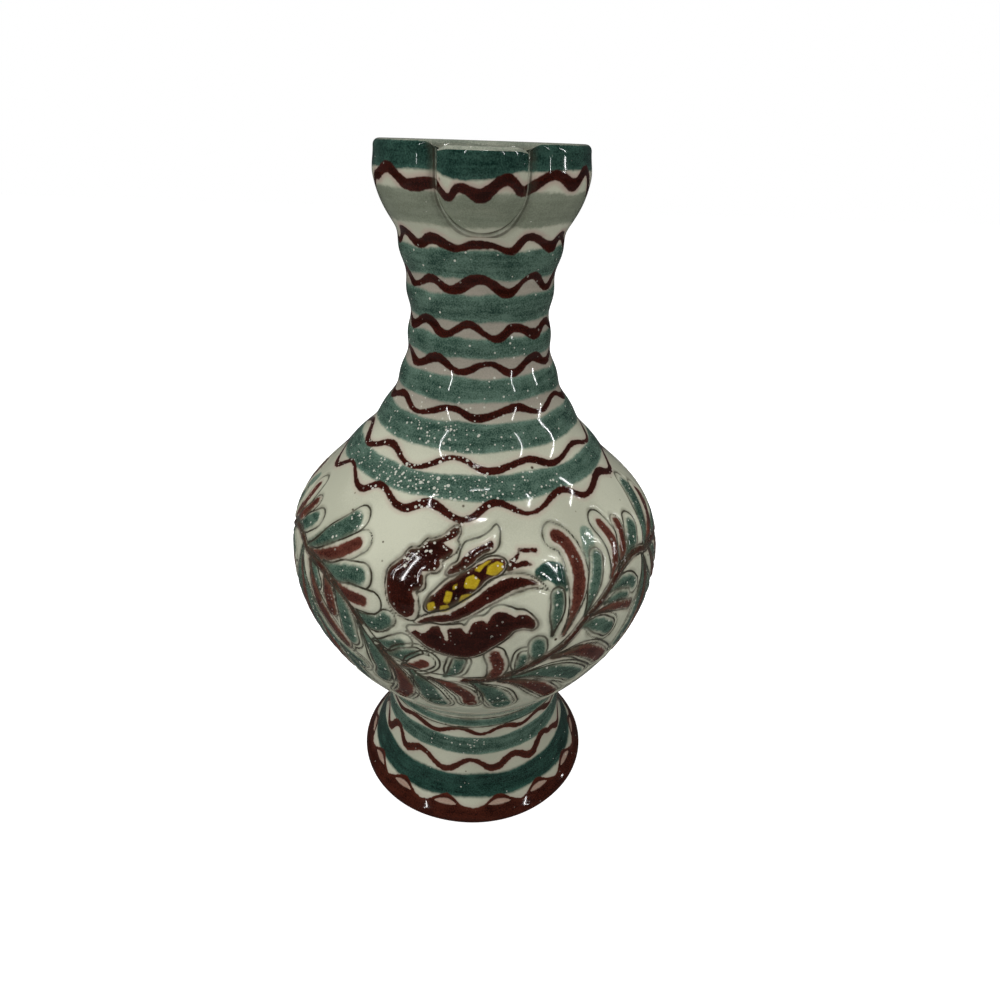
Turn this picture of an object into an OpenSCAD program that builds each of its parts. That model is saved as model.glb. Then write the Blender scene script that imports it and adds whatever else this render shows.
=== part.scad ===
// Footed jug of glazed earthenware with a ribbed neck and a lobed pouring mouth.
// Millimetres, Z up. The origin is the centre of the ring that the jug stands on,
// and the pouring lip faces -Y. Each piece is shaped by itself and luted to the next.

/* [Foot] */
// Radius over the rolled edge
foot_r = 55.5; // [50:0.5:62]
// Height from the table to the seat under the belly
foot_h = 54; // [47:0.5:62]
// Radius of the rolled edge over its upper side
roll_r = 3.5; // [2.5:0.25:5]
// Radius of the rolled edge under its lower side
edge_r = 2; // [1:0.25:3]
// Width of the flat ring that touches the table
ring_w = 7; // [4:0.5:9]
// Radius of the waist above the flare
waist_r = 41.5; // [38:0.5:45]
// Height of the waist
waist_z = 40; // [32:0.5:45]
// Thickness of the foot's wall
foot_wall = 6; // [4:0.5:8]

/* [Belly] */
// Radius of the flat base that the foot is luted to
seat_r = 43; // [40:0.5:48]
// Largest radius of the belly
belly_r = 79; // [70:0.5:88]
// Height of the largest radius above the base
belly_rise = 68; // [60:0.5:76]
// Height of the belly from its base to the joint with the neck
belly_h = 108; // [100:0.5:120]
// Radius of the joint with the neck
shoulder_r = 57; // [50:0.5:62]
// Slope of the wall at that joint, above level, in degrees
shoulder_angle = 45; // [38:1:55]
// Thickness of the belly's wall
belly_wall = 5; // [4:0.5:7]
// Thickness of the belly's floor
floor_t = 7; // [5:0.5:10]

/* [Neck] */
// Height of the neck from the shoulder joint to the collar
neck_h = 90; // [75:0.5:105]
// Height of the throat, the narrowest place, above the shoulder joint
throat_rise = 60; // [50:0.5:66]
// Radius of the throat in the grooves between ribs
throat_r = 26.5; // [23:0.1:30]
// Radius at the top of the neck, under the collar
neck_top_r = 30.4; // [29:0.1:33]
// Number of throwing ribs
ribs = 6; // [4:1:9]
// How far each rib stands out of its grooves
rib_out = 1; // [0.2:0.1:2]
// Thickness of the neck's wall
neck_wall = 4.5; // [3.5:0.25:6]

/* [Collar] */
// Height of the collar from the neck to the rim
collar_h = 28; // [24:0.5:36]
// Largest radius of the collar
collar_r = 39; // [36:0.1:44]
// Thickness of the collar's wall and rim
collar_wall = 4.5; // [3.5:0.25:6]

/* [Pouring lip] */
// Width of the notch that the lip is let into
lip_w = 29; // [20:0.5:34]
// Height of the collar's wall left under the notch
lip_sill = 1.5; // [1:0.25:4]
// How far the lip's rim lies below the collar's rim
lip_drop = 1.2; // [0.5:0.1:3]
// How far the lip swells out past the collar at its rim
lip_out = 4; // [1:0.25:6]
// Depth of the crease round the lip
crease_d = 2; // [0.5:0.25:2.5]
// Radius of the rounded corners where the rim turns into the creases
lip_corner = 2; // [1:0.25:4]

/* [Handle] */
// Height of the upper root, down from the collar
handle_drop = 12; // [10:0.5:20]
// Height of the lower root, down from the shoulder joint
handle_low = 7; // [4:0.5:14]
// Angle at which the strap leaves the neck, above level, in degrees
handle_lift = 20; // [0:1:30]
// Length of the strap's upward sweep from the neck
handle_reach = 40; // [32:0.5:50]
// Length of the strap's sweep from the shoulder
handle_spring = 44; // [34:0.5:54]
// Width of the strap
handle_w = 24; // [18:0.5:30]
// Thickness of the strap
handle_t = 10; // [6:0.5:12]
// Extra width of the strap where it is pressed on at its roots
root_flare = 6; // [2:0.5:10]
// Depth of the thumb groove along the strap's back
groove_d = 1; // [0:0.1:2]

/* [Luting] */
// Thickness of the slip in the joints that aren't flat
slip = 0.2; // [0.1:0.05:0.4]

/* [Hidden] */
$fn = 96;

// Glaze colours
white_glaze = [0.83, 0.83, 0.77];
pale_glaze = [0.62, 0.65, 0.58];
green_glaze = [0.24, 0.38, 0.33];
dark_green = [0.14, 0.27, 0.22];

// Heights of the joints and of the rim
shoulder_z = foot_h + belly_h;
collar_z = shoulder_z + neck_h;
rim_z = collar_z + collar_h;
belly_z = foot_h + belly_rise;
throat_z = shoulder_z + throat_rise;

// Steps along a curve, along an arc, and over each rib
curve_n = 20;
arc_n = 12;
rib_n = 12;
// An inner outline leaves out the points this near its joint, where it turns to meet the next piece
joint_clear = 1;

// Curves are cubic, from a to d with the handles b and c
function bezier(a, b, c, d, t) =
    pow(1 - t, 3) * a + 3 * t * pow(1 - t, 2) * b + 3 * t * t * (1 - t) * c + pow(t, 3) * d;
function curve(a, b, c, d, from = 0) = [for (i = [from : curve_n]) bezier(a, b, c, d, i / curve_n)];
function arc(centre, r, start, end, n = arc_n, from = 0) =
    [for (i = [from : n]) let (a = mix(start, end, i / n)) centre + r * [cos(a), sin(a)]];
function reversed(list) = [for (i = [len(list) - 1 : -1 : 0]) list[i]];
function mix(a, b, t) = a + (b - a) * t;

// An outline that runs upwards, moved towards the axis by the wall's thickness
function inset(outline, wall) = [for (i = [0 : len(outline) - 1])
    let (along = outline[min(i + 1, len(outline) - 1)] - outline[max(i - 1, 0)])
    outline[i] + wall * [-along.y, along.x] / norm(along)];
function between(outline, low, high) = [for (p = outline) if (p.y > low && p.y < high) p];
// Radius of an upward outline at a height
function radius_at(outline, z) = lookup(z, [for (p = outline) [p.y, p.x]]);

// Belly outline: the lower curve leans out of the base, the upper one closes in to the shoulder
base_lean = 0.92;
lower_hold = 0.18;
lower_fullness = 0.44;
upper_fullness = 0.6;
shoulder_hold = 0.4;
upper_rise = belly_h - belly_rise;
slope = [cos(shoulder_angle), -sin(shoulder_angle)];
belly_outline = concat(
    curve([seat_r, foot_h],
          [seat_r, foot_h] + lower_hold * belly_rise * [base_lean, 1],
          [belly_r, belly_z - lower_fullness * belly_rise],
          [belly_r, belly_z]),
    curve([belly_r, belly_z],
          [belly_r, belly_z + upper_fullness * upper_rise],
          [shoulder_r, shoulder_z] + shoulder_hold * upper_rise * slope,
          [shoulder_r, shoulder_z], from = 1));

// Neck outline: a trumpet through the grooves, with the ribs standing out of it
trumpet_hold = 0.32;
trumpet_fullness = 0.5;
flare_hold = 0.33;
throat_to_top = neck_h - throat_rise;
trumpet = concat(
    curve([shoulder_r, shoulder_z],
          [shoulder_r, shoulder_z] - trumpet_hold * throat_rise * slope,
          [throat_r, throat_z - trumpet_fullness * throat_rise],
          [throat_r, throat_z]),
    curve([throat_r, throat_z],
          [throat_r, throat_z + flare_hold * throat_to_top],
          [mix(throat_r, neck_top_r, 1 - flare_hold), collar_z - flare_hold * throat_to_top],
          [neck_top_r, collar_z], from = 1));
neck_outline = [for (i = [0 : ribs * rib_n])
    let (z = shoulder_z + neck_h * i / (ribs * rib_n))
    [radius_at(trumpet, z) + rib_out * (1 - cos(360 * i / rib_n)) / 2, z]];

// Collar outline, from the neck up to where the rim starts to round over
bowl_hold = 0.5;
bowl_lift = 0.18;
bowl_fullness = 0.4;
rim_r = collar_wall / 2;
collar_outline = curve([neck_top_r, collar_z],
    [mix(neck_top_r, collar_r, bowl_hold), collar_z + bowl_lift * collar_h],
    [collar_r, collar_z + bowl_fullness * collar_h],
    [collar_r, rim_z - rim_r]);
collar_inside = concat([[neck_top_r - neck_wall, collar_z]],
    between(inset(collar_outline, collar_wall), collar_z + joint_clear, rim_z - rim_r - joint_clear),
    [[collar_r - collar_wall, rim_z - rim_r]]);

// Flared pedestal: rolled edge, flare, waist and seat outside, open through the middle
module foot() {
    roll_end = 50;
    flare_lead = 0.15;
    flare_fullness = 0.5;
    roll = concat(
        arc([foot_r - edge_r, edge_r], edge_r, -90, 0),
        arc([foot_r - roll_r, edge_r], roll_r, 0, roll_end, from = 1));
    roll_top = roll[len(roll) - 1];
    flare = curve(roll_top, roll_top + flare_lead * waist_z * [-sin(roll_end), cos(roll_end)],
                  [waist_r, mix(roll_top.y, waist_z, flare_fullness)], [waist_r, waist_z], from = 1);
    spread_hold = 0.4;
    waist_to_seat = foot_h - waist_z;
    spread = curve([waist_r, waist_z], [waist_r, waist_z + spread_hold * waist_to_seat],
                   [mix(waist_r, seat_r, spread_hold), foot_h - spread_hold * waist_to_seat],
                   [seat_r, foot_h], from = 1);
    hollow_hold = 0.35;
    inner_ring_r = foot_r - edge_r - ring_w;
    hollow = concat(
        curve([inner_ring_r, 0], [inner_ring_r, hollow_hold * waist_z],
              [waist_r - foot_wall, (1 - hollow_hold) * waist_z], [waist_r - foot_wall, waist_z]),
        [[seat_r - foot_wall, foot_h]]);
    color(dark_green)
        rotate_extrude()
            polygon(concat(roll, flare, spread, reversed(hollow)));
}

// Round bulb with a flat floor, closed below and open at the shoulder joint
module belly() {
    floor_z = foot_h + floor_t;
    inner = inset(belly_outline, belly_wall);
    inside = concat(
        [[0, floor_z], [radius_at(inner, floor_z), floor_z]],
        between(inner, floor_z + joint_clear, shoulder_z - joint_clear),
        [[shoulder_r - belly_wall / sin(shoulder_angle), shoulder_z]]);
    color(white_glaze)
        rotate_extrude()
            polygon(concat([[0, foot_h]], belly_outline, reversed(inside)));
}

// Trumpet neck with throwing ribs outside and a smooth passage inside
module neck() {
    inside = concat(
        [[shoulder_r - neck_wall / sin(shoulder_angle), shoulder_z]],
        between(inset(trumpet, neck_wall), shoulder_z + joint_clear, collar_z - joint_clear),
        [[neck_top_r - neck_wall, collar_z]]);
    color(green_glaze)
        rotate_extrude()
            polygon(concat(neck_outline, reversed(inside)));
}

// U-shaped notch outline seen from the front, with its corners rounded over at the rim
notch_r = lip_w / 2;
notch_z = collar_z + lip_sill + notch_r;
module notch() {
    above = rim_z + lip_corner;
    right = concat(
        arc([0, notch_z], notch_r, -90, 0),
        arc([notch_r + lip_corner, rim_z - lip_corner], lip_corner, 180, 90),
        [[notch_r + lip_corner, above]]);
    left = [for (p = reversed(right)) [-p.x, p.y]];
    reach = collar_r + lip_out;
    rotate([90, 0, 0])
        linear_extrude(height = reach)
            polygon(concat(right, left));
}

// Bowl-shaped mouth with a rounded rim and the notch for the lip in front
module collar() {
    rim = arc([collar_r - rim_r, rim_z - rim_r], rim_r, 0, 180);
    color(green_glaze)
        difference() {
            rotate_extrude()
                polygon(concat(collar_outline, rim, reversed(collar_inside)));
            notch();
        }
}

// The lip is a shield-shaped lobe lofted in rings: out over its face, round its edge, and in over
// its back. Each edge point is [x, z, share of the rim's roundness at that point].
lip_r = notch_r - slip;
lip_top = rim_z - lip_drop - rim_r;
bottom_n = 18;
side_n = 6;
corner_step = 15;
crease_sharpness = 6;
lip_edge = let (
    bottom = [for (p = arc([0, notch_z], lip_r, 180, 360, bottom_n)) [p.x, p.y, 0]],
    corner_z = lip_top - lip_corner,
    right_side = [for (i = [1 : side_n]) [lip_r, mix(notch_z, corner_z, i / side_n), 0]],
    right_corner = [for (a = [corner_step : corner_step : 90])
        [lip_r - lip_corner * (1 - cos(a)), corner_z + lip_corner * sin(a), sin(a)]],
    top = [for (i = [1 : side_n - 1]) [mix(1, -1, i / side_n) * (lip_r - lip_corner), lip_top, 1]],
    left_corner = [for (p = reversed(right_corner)) [-p.x, p.y, p.z]],
    left_side = [for (i = [side_n : -1 : 1]) [-lip_r, mix(notch_z, corner_z, i / side_n), 0]])
    concat(bottom, right_side, right_corner, top, left_corner, left_side);

// How far a point lies from the middle of the lip, 0 to 1 at its sides and bottom
function lip_aside(x, z) = min(1, norm([x, min(0, z - notch_z)]) / lip_r);
function lip_swell(x, z) =
    lip_out * (1 - pow(lip_aside(x, z), 2)) * (z - notch_z + lip_r) / (lip_top - notch_z + lip_r);
function lip_face(x, z) =
    -sqrt(pow(radius_at(collar_outline, z), 2) - x * x) - lip_swell(x, z)
    + crease_d * pow(lip_aside(x, z), crease_sharpness);
function lip_back(x, z) =
    -sqrt(pow(radius_at(collar_inside, z), 2) - x * x) - lip_swell(x, z);

module pouring_lip() {
    ring_n = 7;
    edge_step = 30;
    centre = [0, notch_z];
    function at(p, s) = mix(centre, [p.x, p.y], s);
    face = [for (k = [1 : ring_n]) [for (p = lip_edge)
        let (q = at(p, k / ring_n)) [q.x, lip_face(q.x, q.y), q.y]]];
    edge = [for (a = [edge_step : edge_step : 180 - edge_step]) [for (p = lip_edge)
        [p.x, mix(lip_face(p.x, p.y), lip_back(p.x, p.y), (1 - cos(a)) / 2), p.y + rim_r * p.z * sin(a)]]];
    back = [for (k = [ring_n : -1 : 1]) [for (p = lip_edge)
        let (q = at(p, k / ring_n)) [q.x, lip_back(q.x, q.y), q.y]]];
    color(pale_glaze)
        loft(concat(face, edge, back),
             [0, lip_face(0, notch_z), notch_z], [0, lip_back(0, notch_z), notch_z]);
}

// Closed skin over a row of rings of equal length, with a point to close each end
module loft(rings, first, last) {
    n = len(rings[0]);
    m = len(rings);
    points = concat([first], [for (ring = rings) each ring], [last]);
    function index(k, i) = 1 + k * n + i % n;
    faces = concat(
        [for (i = [0 : n - 1]) [0, index(0, i + 1), index(0, i)]],
        [for (k = [0 : m - 2], i = [0 : n - 1])
            each [[index(k, i), index(k, i + 1), index(k + 1, i)],
                  [index(k, i + 1), index(k + 1, i + 1), index(k + 1, i)]]],
        [for (i = [0 : n - 1]) [index(m - 1, i), index(m - 1, i + 1), 1 + m * n]]);
    polyhedron(points, faces);
}

// Strap handle: a section swept from the neck to the shoulder, each end shaped to the wall it meets
jug_outline = concat(belly_outline, [for (p = neck_outline) if (p.y > shoulder_z) p]);
function clearance(p) = norm([p.x, p.y]) - radius_at(jug_outline, p.z) - slip;
// The place where a line from p along d meets the wall's slip, found by halving
halvings = 24;
function meet(p, d, near, far, n = halvings) =
    let (mid = (near + far) / 2)
    n == 0 ? p + mid * d
    : clearance(p + mid * d) > 0 ? meet(p, d, mid, far, n - 1) : meet(p, d, near, mid, n - 1);

module handle() {
    top_z = collar_z - handle_drop;
    low_z = shoulder_z - handle_low;
    top_root = [radius_at(jug_outline, top_z), top_z];
    low_root = [radius_at(jug_outline, low_z), low_z];
    step = 1;
    wall_run = [radius_at(jug_outline, low_z + step) - radius_at(jug_outline, low_z - step), 2 * step];
    low_normal = [wall_run.y, -wall_run.x] / norm(wall_run);
    top_way = [cos(handle_lift), sin(handle_lift)];
    path_n = 24;
    path = [for (i = [0 : path_n])
        bezier(top_root, top_root + handle_reach * top_way,
               low_root + handle_spring * low_normal, low_root, i / path_n)];

    // Section points: x across the strap, y through its thickness, outer face positive
    section_n = 24;
    squareness = 0.75;
    groove_share = 0.2;
    root_sharpness = 4;
    function rounded(v) = sign(v) * pow(abs(v), squareness);
    function section(i, share) =
        let (flare = root_flare * pow(abs(2 * i / path_n - 1), root_sharpness), w = handle_w + flare)
        [for (k = [0 : section_n - 1])
            let (a = 360 * k / section_n,
                 x = w / 2 * rounded(cos(a)),
                 groove = sin(a) > 0 ? groove_d * exp(-pow(x / (groove_share * w), 2)) : 0)
            share * [x, handle_t / 2 * rounded(sin(a)) - groove]];
    function way(i) =
        let (d = path[min(i + 1, path_n)] - path[max(i - 1, 0)]) d / norm(d);
    function placed(i, q) =
        let (d = way(i), c = path[i] + q.y * [-d.y, d.x]) [q.x, c.x, c.y];
    function ring(i) = [for (q = section(i, 1)) placed(i, q)];

    // Root rings lie on the wall: points of the end section, followed back along the strap
    function pressed(i, d, share) = [for (q = section(i, share))
        meet(placed(i, q), [0, d.x, d.y], -handle_t, collar_r)];
    first_i = 2;
    last_i = path_n - 2;
    top_back = -way(first_i);
    low_on = way(last_i);
    shares = [0.25, 0.5, 0.75];
    rings = concat(
        [for (s = shares) pressed(first_i, top_back, s)],
        [pressed(first_i, top_back, 1)],
        [for (i = [first_i : last_i]) ring(i)],
        [pressed(last_i, low_on, 1)],
        [for (s = reversed(shares)) pressed(last_i, low_on, s)]);
    color(white_glaze)
        loft(rings, meet(placed(first_i, [0, 0]), [0, top_back.x, top_back.y], -handle_t, collar_r),
             meet(placed(last_i, [0, 0]), [0, low_on.x, low_on.y], -handle_t, collar_r));
}

foot();
belly();
neck();
collar();
pouring_lip();
handle();
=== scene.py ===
import math

import bmesh
import bpy
import numpy as np
from mathutils import Matrix, Vector


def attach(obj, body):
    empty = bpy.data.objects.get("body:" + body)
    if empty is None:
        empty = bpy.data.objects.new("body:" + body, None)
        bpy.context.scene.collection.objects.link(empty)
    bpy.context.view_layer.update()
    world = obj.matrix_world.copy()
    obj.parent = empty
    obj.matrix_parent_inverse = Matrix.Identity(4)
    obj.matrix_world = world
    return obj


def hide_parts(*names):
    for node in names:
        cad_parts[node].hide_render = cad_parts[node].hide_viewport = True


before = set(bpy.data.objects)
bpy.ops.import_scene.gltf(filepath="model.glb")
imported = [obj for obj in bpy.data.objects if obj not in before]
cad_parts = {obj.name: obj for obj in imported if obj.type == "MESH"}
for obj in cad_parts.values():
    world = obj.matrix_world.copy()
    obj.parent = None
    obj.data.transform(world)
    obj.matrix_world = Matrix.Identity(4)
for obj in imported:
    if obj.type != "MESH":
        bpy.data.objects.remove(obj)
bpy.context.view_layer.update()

# Foot. A flared pedestal thrown by itself in red earthenware, dipped in white slip, painted
# with green bands and brown waves, and glazed. It stands on a rolled edge, and its seat is
# luted to the underside of the belly.

MM, FAR = 0.001, 9.0
foot_r, foot_h, edge_r, roll_r, ring_w = 55.5, 54.0, 2.0, 3.5, 7.0
waist_r, waist_z, foot_wall, seat_r = 41.5, 40.0, 6.0, 43.0


def curve(a, b, c, d, n=60):
    """Points on the thrown curve from a to d that leaves towards b and arrives from c."""
    a, b, c, d = (np.array(p, float) for p in (a, b, c, d))
    t = np.linspace(0, 1, n + 1)[:, None]
    return (1 - t)**3 * a + 3 * t * (1 - t)**2 * b + 3 * t * t * (1 - t) * c + t**3 * d


def arc(x, z, r, start, end, n=12):
    """Points on a rounded edge, with its angles in degrees."""
    a = np.radians(np.linspace(start, end, n + 1))
    return np.stack([x + r * np.cos(a), z + r * np.sin(a)], -1)


def lengths(outline):
    """How far along an outline each of its points is."""
    return np.concatenate([[0], np.cumsum(np.linalg.norm(np.diff(outline, axis=0), axis=1))])


def even(outline, step):
    """The same outline with its points spaced evenly."""
    s = lengths(outline)
    q = np.linspace(0, s[-1], int(math.ceil(s[-1] / step)) + 1)
    return np.stack([np.interp(q, s, outline[:, i]) for i in (0, 1)], -1)


def inset(outline, wall):
    """The inner face of a wall, for an outline that runs upwards."""
    run = np.gradient(outline, axis=0)
    run /= np.linalg.norm(run, axis=1)[:, None]
    return outline + wall * np.stack([-run[:, 1], run[:, 0]], -1)


class Bench:
    """The node tree of one finish or of one rule of shape."""

    def __init__(self, tree):
        self.tree = tree

    def add(self, kind, settings=None, sockets=None, out=0):
        node = self.tree.nodes.new(kind)
        for name, value in (settings or {}).items():
            setattr(node, name, value)
        for key, value in (sockets or {}).items():
            if isinstance(value, Wire):
                self.tree.links.new(value.socket, node.inputs[key])
            else:
                node.inputs[key].default_value = value
        return Wire(self, node.outputs[out]) if len(node.outputs) else node


class Wire:
    """One socket; sums written with it add their Math nodes."""

    def __init__(self, bench, socket):
        self.bench = bench
        self.socket = socket

    def also(self, name):
        return Wire(self.bench, self.socket.node.outputs[name])

    def math(self, operation, *others):
        return self.bench.add("ShaderNodeMath", {"operation": operation},
                              dict(enumerate((self,) + others)))

    def turned_math(self, operation, first):
        return self.bench.add("ShaderNodeMath", {"operation": operation}, {0: first, 1: self})

    def __add__(self, other):
        return self.math("ADD", other)

    def __sub__(self, other):
        return self.math("SUBTRACT", other)

    def __rsub__(self, other):
        return self.turned_math("SUBTRACT", other)

    def __mul__(self, other):
        return self.math("MULTIPLY", other)

    def __truediv__(self, other):
        return self.math("DIVIDE", other)

    def __rpow__(self, other):
        return self.turned_math("POWER", other)

    def __abs__(self):
        return self.math("ABSOLUTE")

    __radd__ = __add__
    __rmul__ = __mul__

    def rise(self, low, high):
        """0 below low, 1 above high, and a soft step between them."""
        return self.bench.add("ShaderNodeMapRange", {"interpolation_type": "SMOOTHSTEP"},
                              {0: self, 1: low, 2: high})

    def blend(self, first, second):
        """The first colour where this is 0 and the second where it is 1."""
        return self.bench.add("ShaderNodeMix", {"data_type": "RGBA"},
                              {0: self, 6: first, 7: second}, out=2)


class Rule(Bench):
    """A rule of shape: a flat grid, with a row for each point of a line, is laid round the line."""

    def __init__(self, name, inputs):
        super().__init__(bpy.data.node_groups.new(name, "GeometryNodeTree"))
        for label, kind in (("Line", "Geometry"), ("Steps Round", "Int"), *inputs, ("Glaze", "Material")):
            self.tree.interface.new_socket(label, in_out="INPUT", socket_type="NodeSocket" + kind)
        self.tree.interface.new_socket("Clay", in_out="OUTPUT", socket_type="NodeSocketGeometry")
        self.given = self.add("NodeGroupInput")
        count = self.add("GeometryNodeAttributeDomainSize", {"component": "MESH"},
                         {"Geometry": self.given.also("Line")}, out="Point Count")
        self.flat = self.add("GeometryNodeMeshGrid", None,
                             {"Size X": 1.0, "Size Y": 1.0,
                              "Vertices X": self.given.also("Steps Round") + 1, "Vertices Y": count})
        place = self.add("GeometryNodeInputPosition")
        spread = self.add("ShaderNodeSeparateXYZ", None, {0: place})
        self.around = spread.also("X") + 0.5
        self.along = spread.also("Y") + 0.5
        self.row = (self.along * (count - 1)).math("ROUND")
        self.point = self.sampled(place, "FLOAT_VECTOR")

    def sampled(self, value, kind):
        return self.add("GeometryNodeSampleIndex", {"data_type": kind},
                        {"Geometry": self.given.also("Line"), "Value": value, "Index": self.row})

    def carried(self, label, kind="FLOAT"):
        """What the row's point of the line carries under a name."""
        value = self.add("GeometryNodeInputNamedAttribute", {"data_type": kind}, {"Name": label})
        return self.sampled(value, kind)

    def finish(self, position):
        """The grid takes its form, its seams are joined, and it becomes one plain glazed mesh."""
        clay = self.flat
        for label, kind, domain, value in (("along", "FLOAT", "POINT", self.along),
                                           ("around", "FLOAT", "POINT", self.around),
                                           ("OFBake", "FLOAT2", "CORNER", self.flat.also("UV Map"))):
            clay = self.add("GeometryNodeStoreNamedAttribute", {"data_type": kind, "domain": domain},
                            {"Geometry": clay, "Name": label, "Value": value})
        clay = self.add("GeometryNodeSetPosition", None, {"Geometry": clay, "Position": position})
        clay = self.add("GeometryNodeMergeByDistance", None, {"Geometry": clay, "Distance": 1e-5})
        bare = 1 - self.add("GeometryNodeInputMeshEdgeNeighbors")
        clay = self.add("GeometryNodeDeleteGeometry", {"domain": "EDGE", "mode": "EDGE_FACE"},
                        {"Geometry": clay, "Selection": bare})
        clay = self.add("GeometryNodeSetShadeSmooth", None, {"Geometry": clay})
        clay = self.add("GeometryNodeRealizeInstances", None, {"Geometry": clay})
        clay = self.add("GeometryNodeSetMaterial", None,
                        {"Geometry": clay, "Material": self.given.also("Glaze")})
        self.add("NodeGroupOutput", None, {"Clay": clay})
        return self.tree


def turned_wall():
    """A wall of revolution: the outline goes once round the axis, with the wheel's unevenness."""
    rule = Rule("turned wall", [(label, "Float") for label in ("Seam", "Crowding", "Unevenness", "Lean",
                                                               "Lean Height", "Lean Reach")])
    given, around = rule.given, rule.around
    crowded = around - given.also("Crowding") * (around * math.tau).math("SINE") / math.tau
    opening = rule.carried("opening")
    radius = rule.add("ShaderNodeSeparateXYZ", None, {0: rule.point})
    height = radius.also("Z")
    turn_to = given.also("Seam") + opening + crowded * (math.tau - 2 * opening)
    sine, cosine = turn_to.math("SINE"), turn_to.math("COSINE")
    round_place = rule.add("ShaderNodeCombineXYZ", None,
                           {0: radius * sine, 1: radius * cosine * -1, 2: height})
    uneven = rule.add("ShaderNodeTexNoise", None, {"Vector": round_place, "Scale": 22.0, "Detail": 1.0})
    near_axis = (radius * 50).math("MINIMUM", 1.0)
    pushed = radius + (uneven - 0.5) * given.also("Unevenness") * near_axis
    away = (height - given.also("Lean Height")) / given.also("Lean Reach")
    lean = given.also("Lean") * math.e ** (away * away * -1)
    return rule.finish(rule.add("ShaderNodeCombineXYZ", None,
                                {0: pushed * sine + lean, 1: pushed * cosine * -1, 2: height}))


wheel = turned_wall()


def link(name, data):
    """A new object at the origin of the scene."""
    thing = bpy.data.objects.new(name, data)
    bpy.context.scene.collection.objects.link(thing)
    return thing


def shape(name, outline, tree, inputs, attributes=None):
    """Runs a rule of shape on an outline's points and keeps the result as a plain mesh."""
    points = bpy.data.meshes.new(name + ".outline")
    points.from_pydata(outline, [(i, i + 1) for i in range(len(outline) - 1)], [])
    for label, values in (attributes or {}).items():
        kind = "FLOAT" if np.ndim(values) == 1 else "FLOAT_VECTOR"
        layer = points.attributes.new(label, kind, "POINT")
        key = "value" if kind == "FLOAT" else "vector"
        layer.data.foreach_set(key, np.ravel(values).astype(np.float32))
    piece = link(name, points)
    rule = piece.modifiers.new("rule", "NODES")
    rule.node_group = tree
    sockets = {item.name: item.identifier for item in tree.interface.items_tree}
    for label, value in inputs.items():
        rule[sockets[label]] = value
    depsgraph = bpy.context.evaluated_depsgraph_get()
    made = piece.evaluated_get(depsgraph)
    mesh = bpy.data.meshes.new_from_object(made, preserve_all_data_layers=True, depsgraph=depsgraph)
    # The outline's own slot comes first and holds nothing.
    mesh.materials.pop(index=0)
    piece.modifiers.clear()
    piece.data = mesh
    mesh.name = name
    return piece


def read(piece, name):
    """One number for each point of a piece."""
    values = np.zeros(len(piece.data.vertices), np.float32)
    piece.data.attributes[name].data.foreach_get("value", values)
    return values.astype(float)


def places(piece):
    """The points of a piece, in millimetres."""
    values = np.zeros(len(piece.data.vertices) * 3, np.float32)
    piece.data.vertices.foreach_get("co", values)
    return values.reshape(-1, 3).astype(float) / MM


def put(piece, co):
    """Moves the points of a piece to places in millimetres."""
    piece.data.vertices.foreach_set("co", (co * MM).ravel().astype(np.float32))
    piece.data.update()


def paint(piece, **fields):
    """Keeps, on each point, how far it is from the edge of each painted shape, in millimetres
    and up to FAR."""
    for name, values in fields.items():
        layer = piece.data.attributes.new(name, "FLOAT", "POINT")
        layer.data.foreach_set("value", np.clip(values, -FAR, FAR).astype(np.float32))


unevenness, lean, lean_z, lean_reach = 0.7, -1.3, 160.0, 18.0


def turn(name, outline, finish, steps, seam=math.pi, crowding=0.0, opening=None):
    """Throws a wall from its outline in millimetres; also gives its points, their angle and how far
    along the outline they are. Points where the outline closes count as its start."""
    raised = [(r * MM, 0.0, z * MM) for r, z in outline]
    piece = shape(name, raised, wheel,
                  {"Steps Round": steps, "Seam": seam, "Crowding": crowding, "Glaze": finish,
                   "Unevenness": unevenness * MM, "Lean": lean * MM, "Lean Height": lean_z * MM,
                   "Lean Reach": lean_reach * MM},
                  None if opening is None else {"opening": opening})
    piece.data.set_sharp_from_angle(angle=math.radians(40))
    co = places(piece)
    angle = np.arctan2(co[:, 0], -co[:, 1])
    row = read(piece, "along") * (len(outline) - 1)
    off = np.abs(np.interp(row, np.arange(len(outline)), outline[:, 1]) - co[:, 2])
    row[off > 1.0] = 0.0
    along = (row / (len(outline) - 1)).astype(np.float32)
    piece.data.attributes["along"].data.foreach_set("value", along)
    s = np.interp(row, np.arange(len(outline)), lengths(outline))
    return piece, co, angle, s


def press_in(piece, depth):
    """Moves each point into the clay by a depth in millimetres."""
    inwards = np.zeros(len(piece.data.vertices) * 3, np.float32)
    piece.data.vertex_normals.foreach_get("vector", inwards)
    put(piece, places(piece) - inwards.reshape(-1, 3) * depth[:, None])


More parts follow.
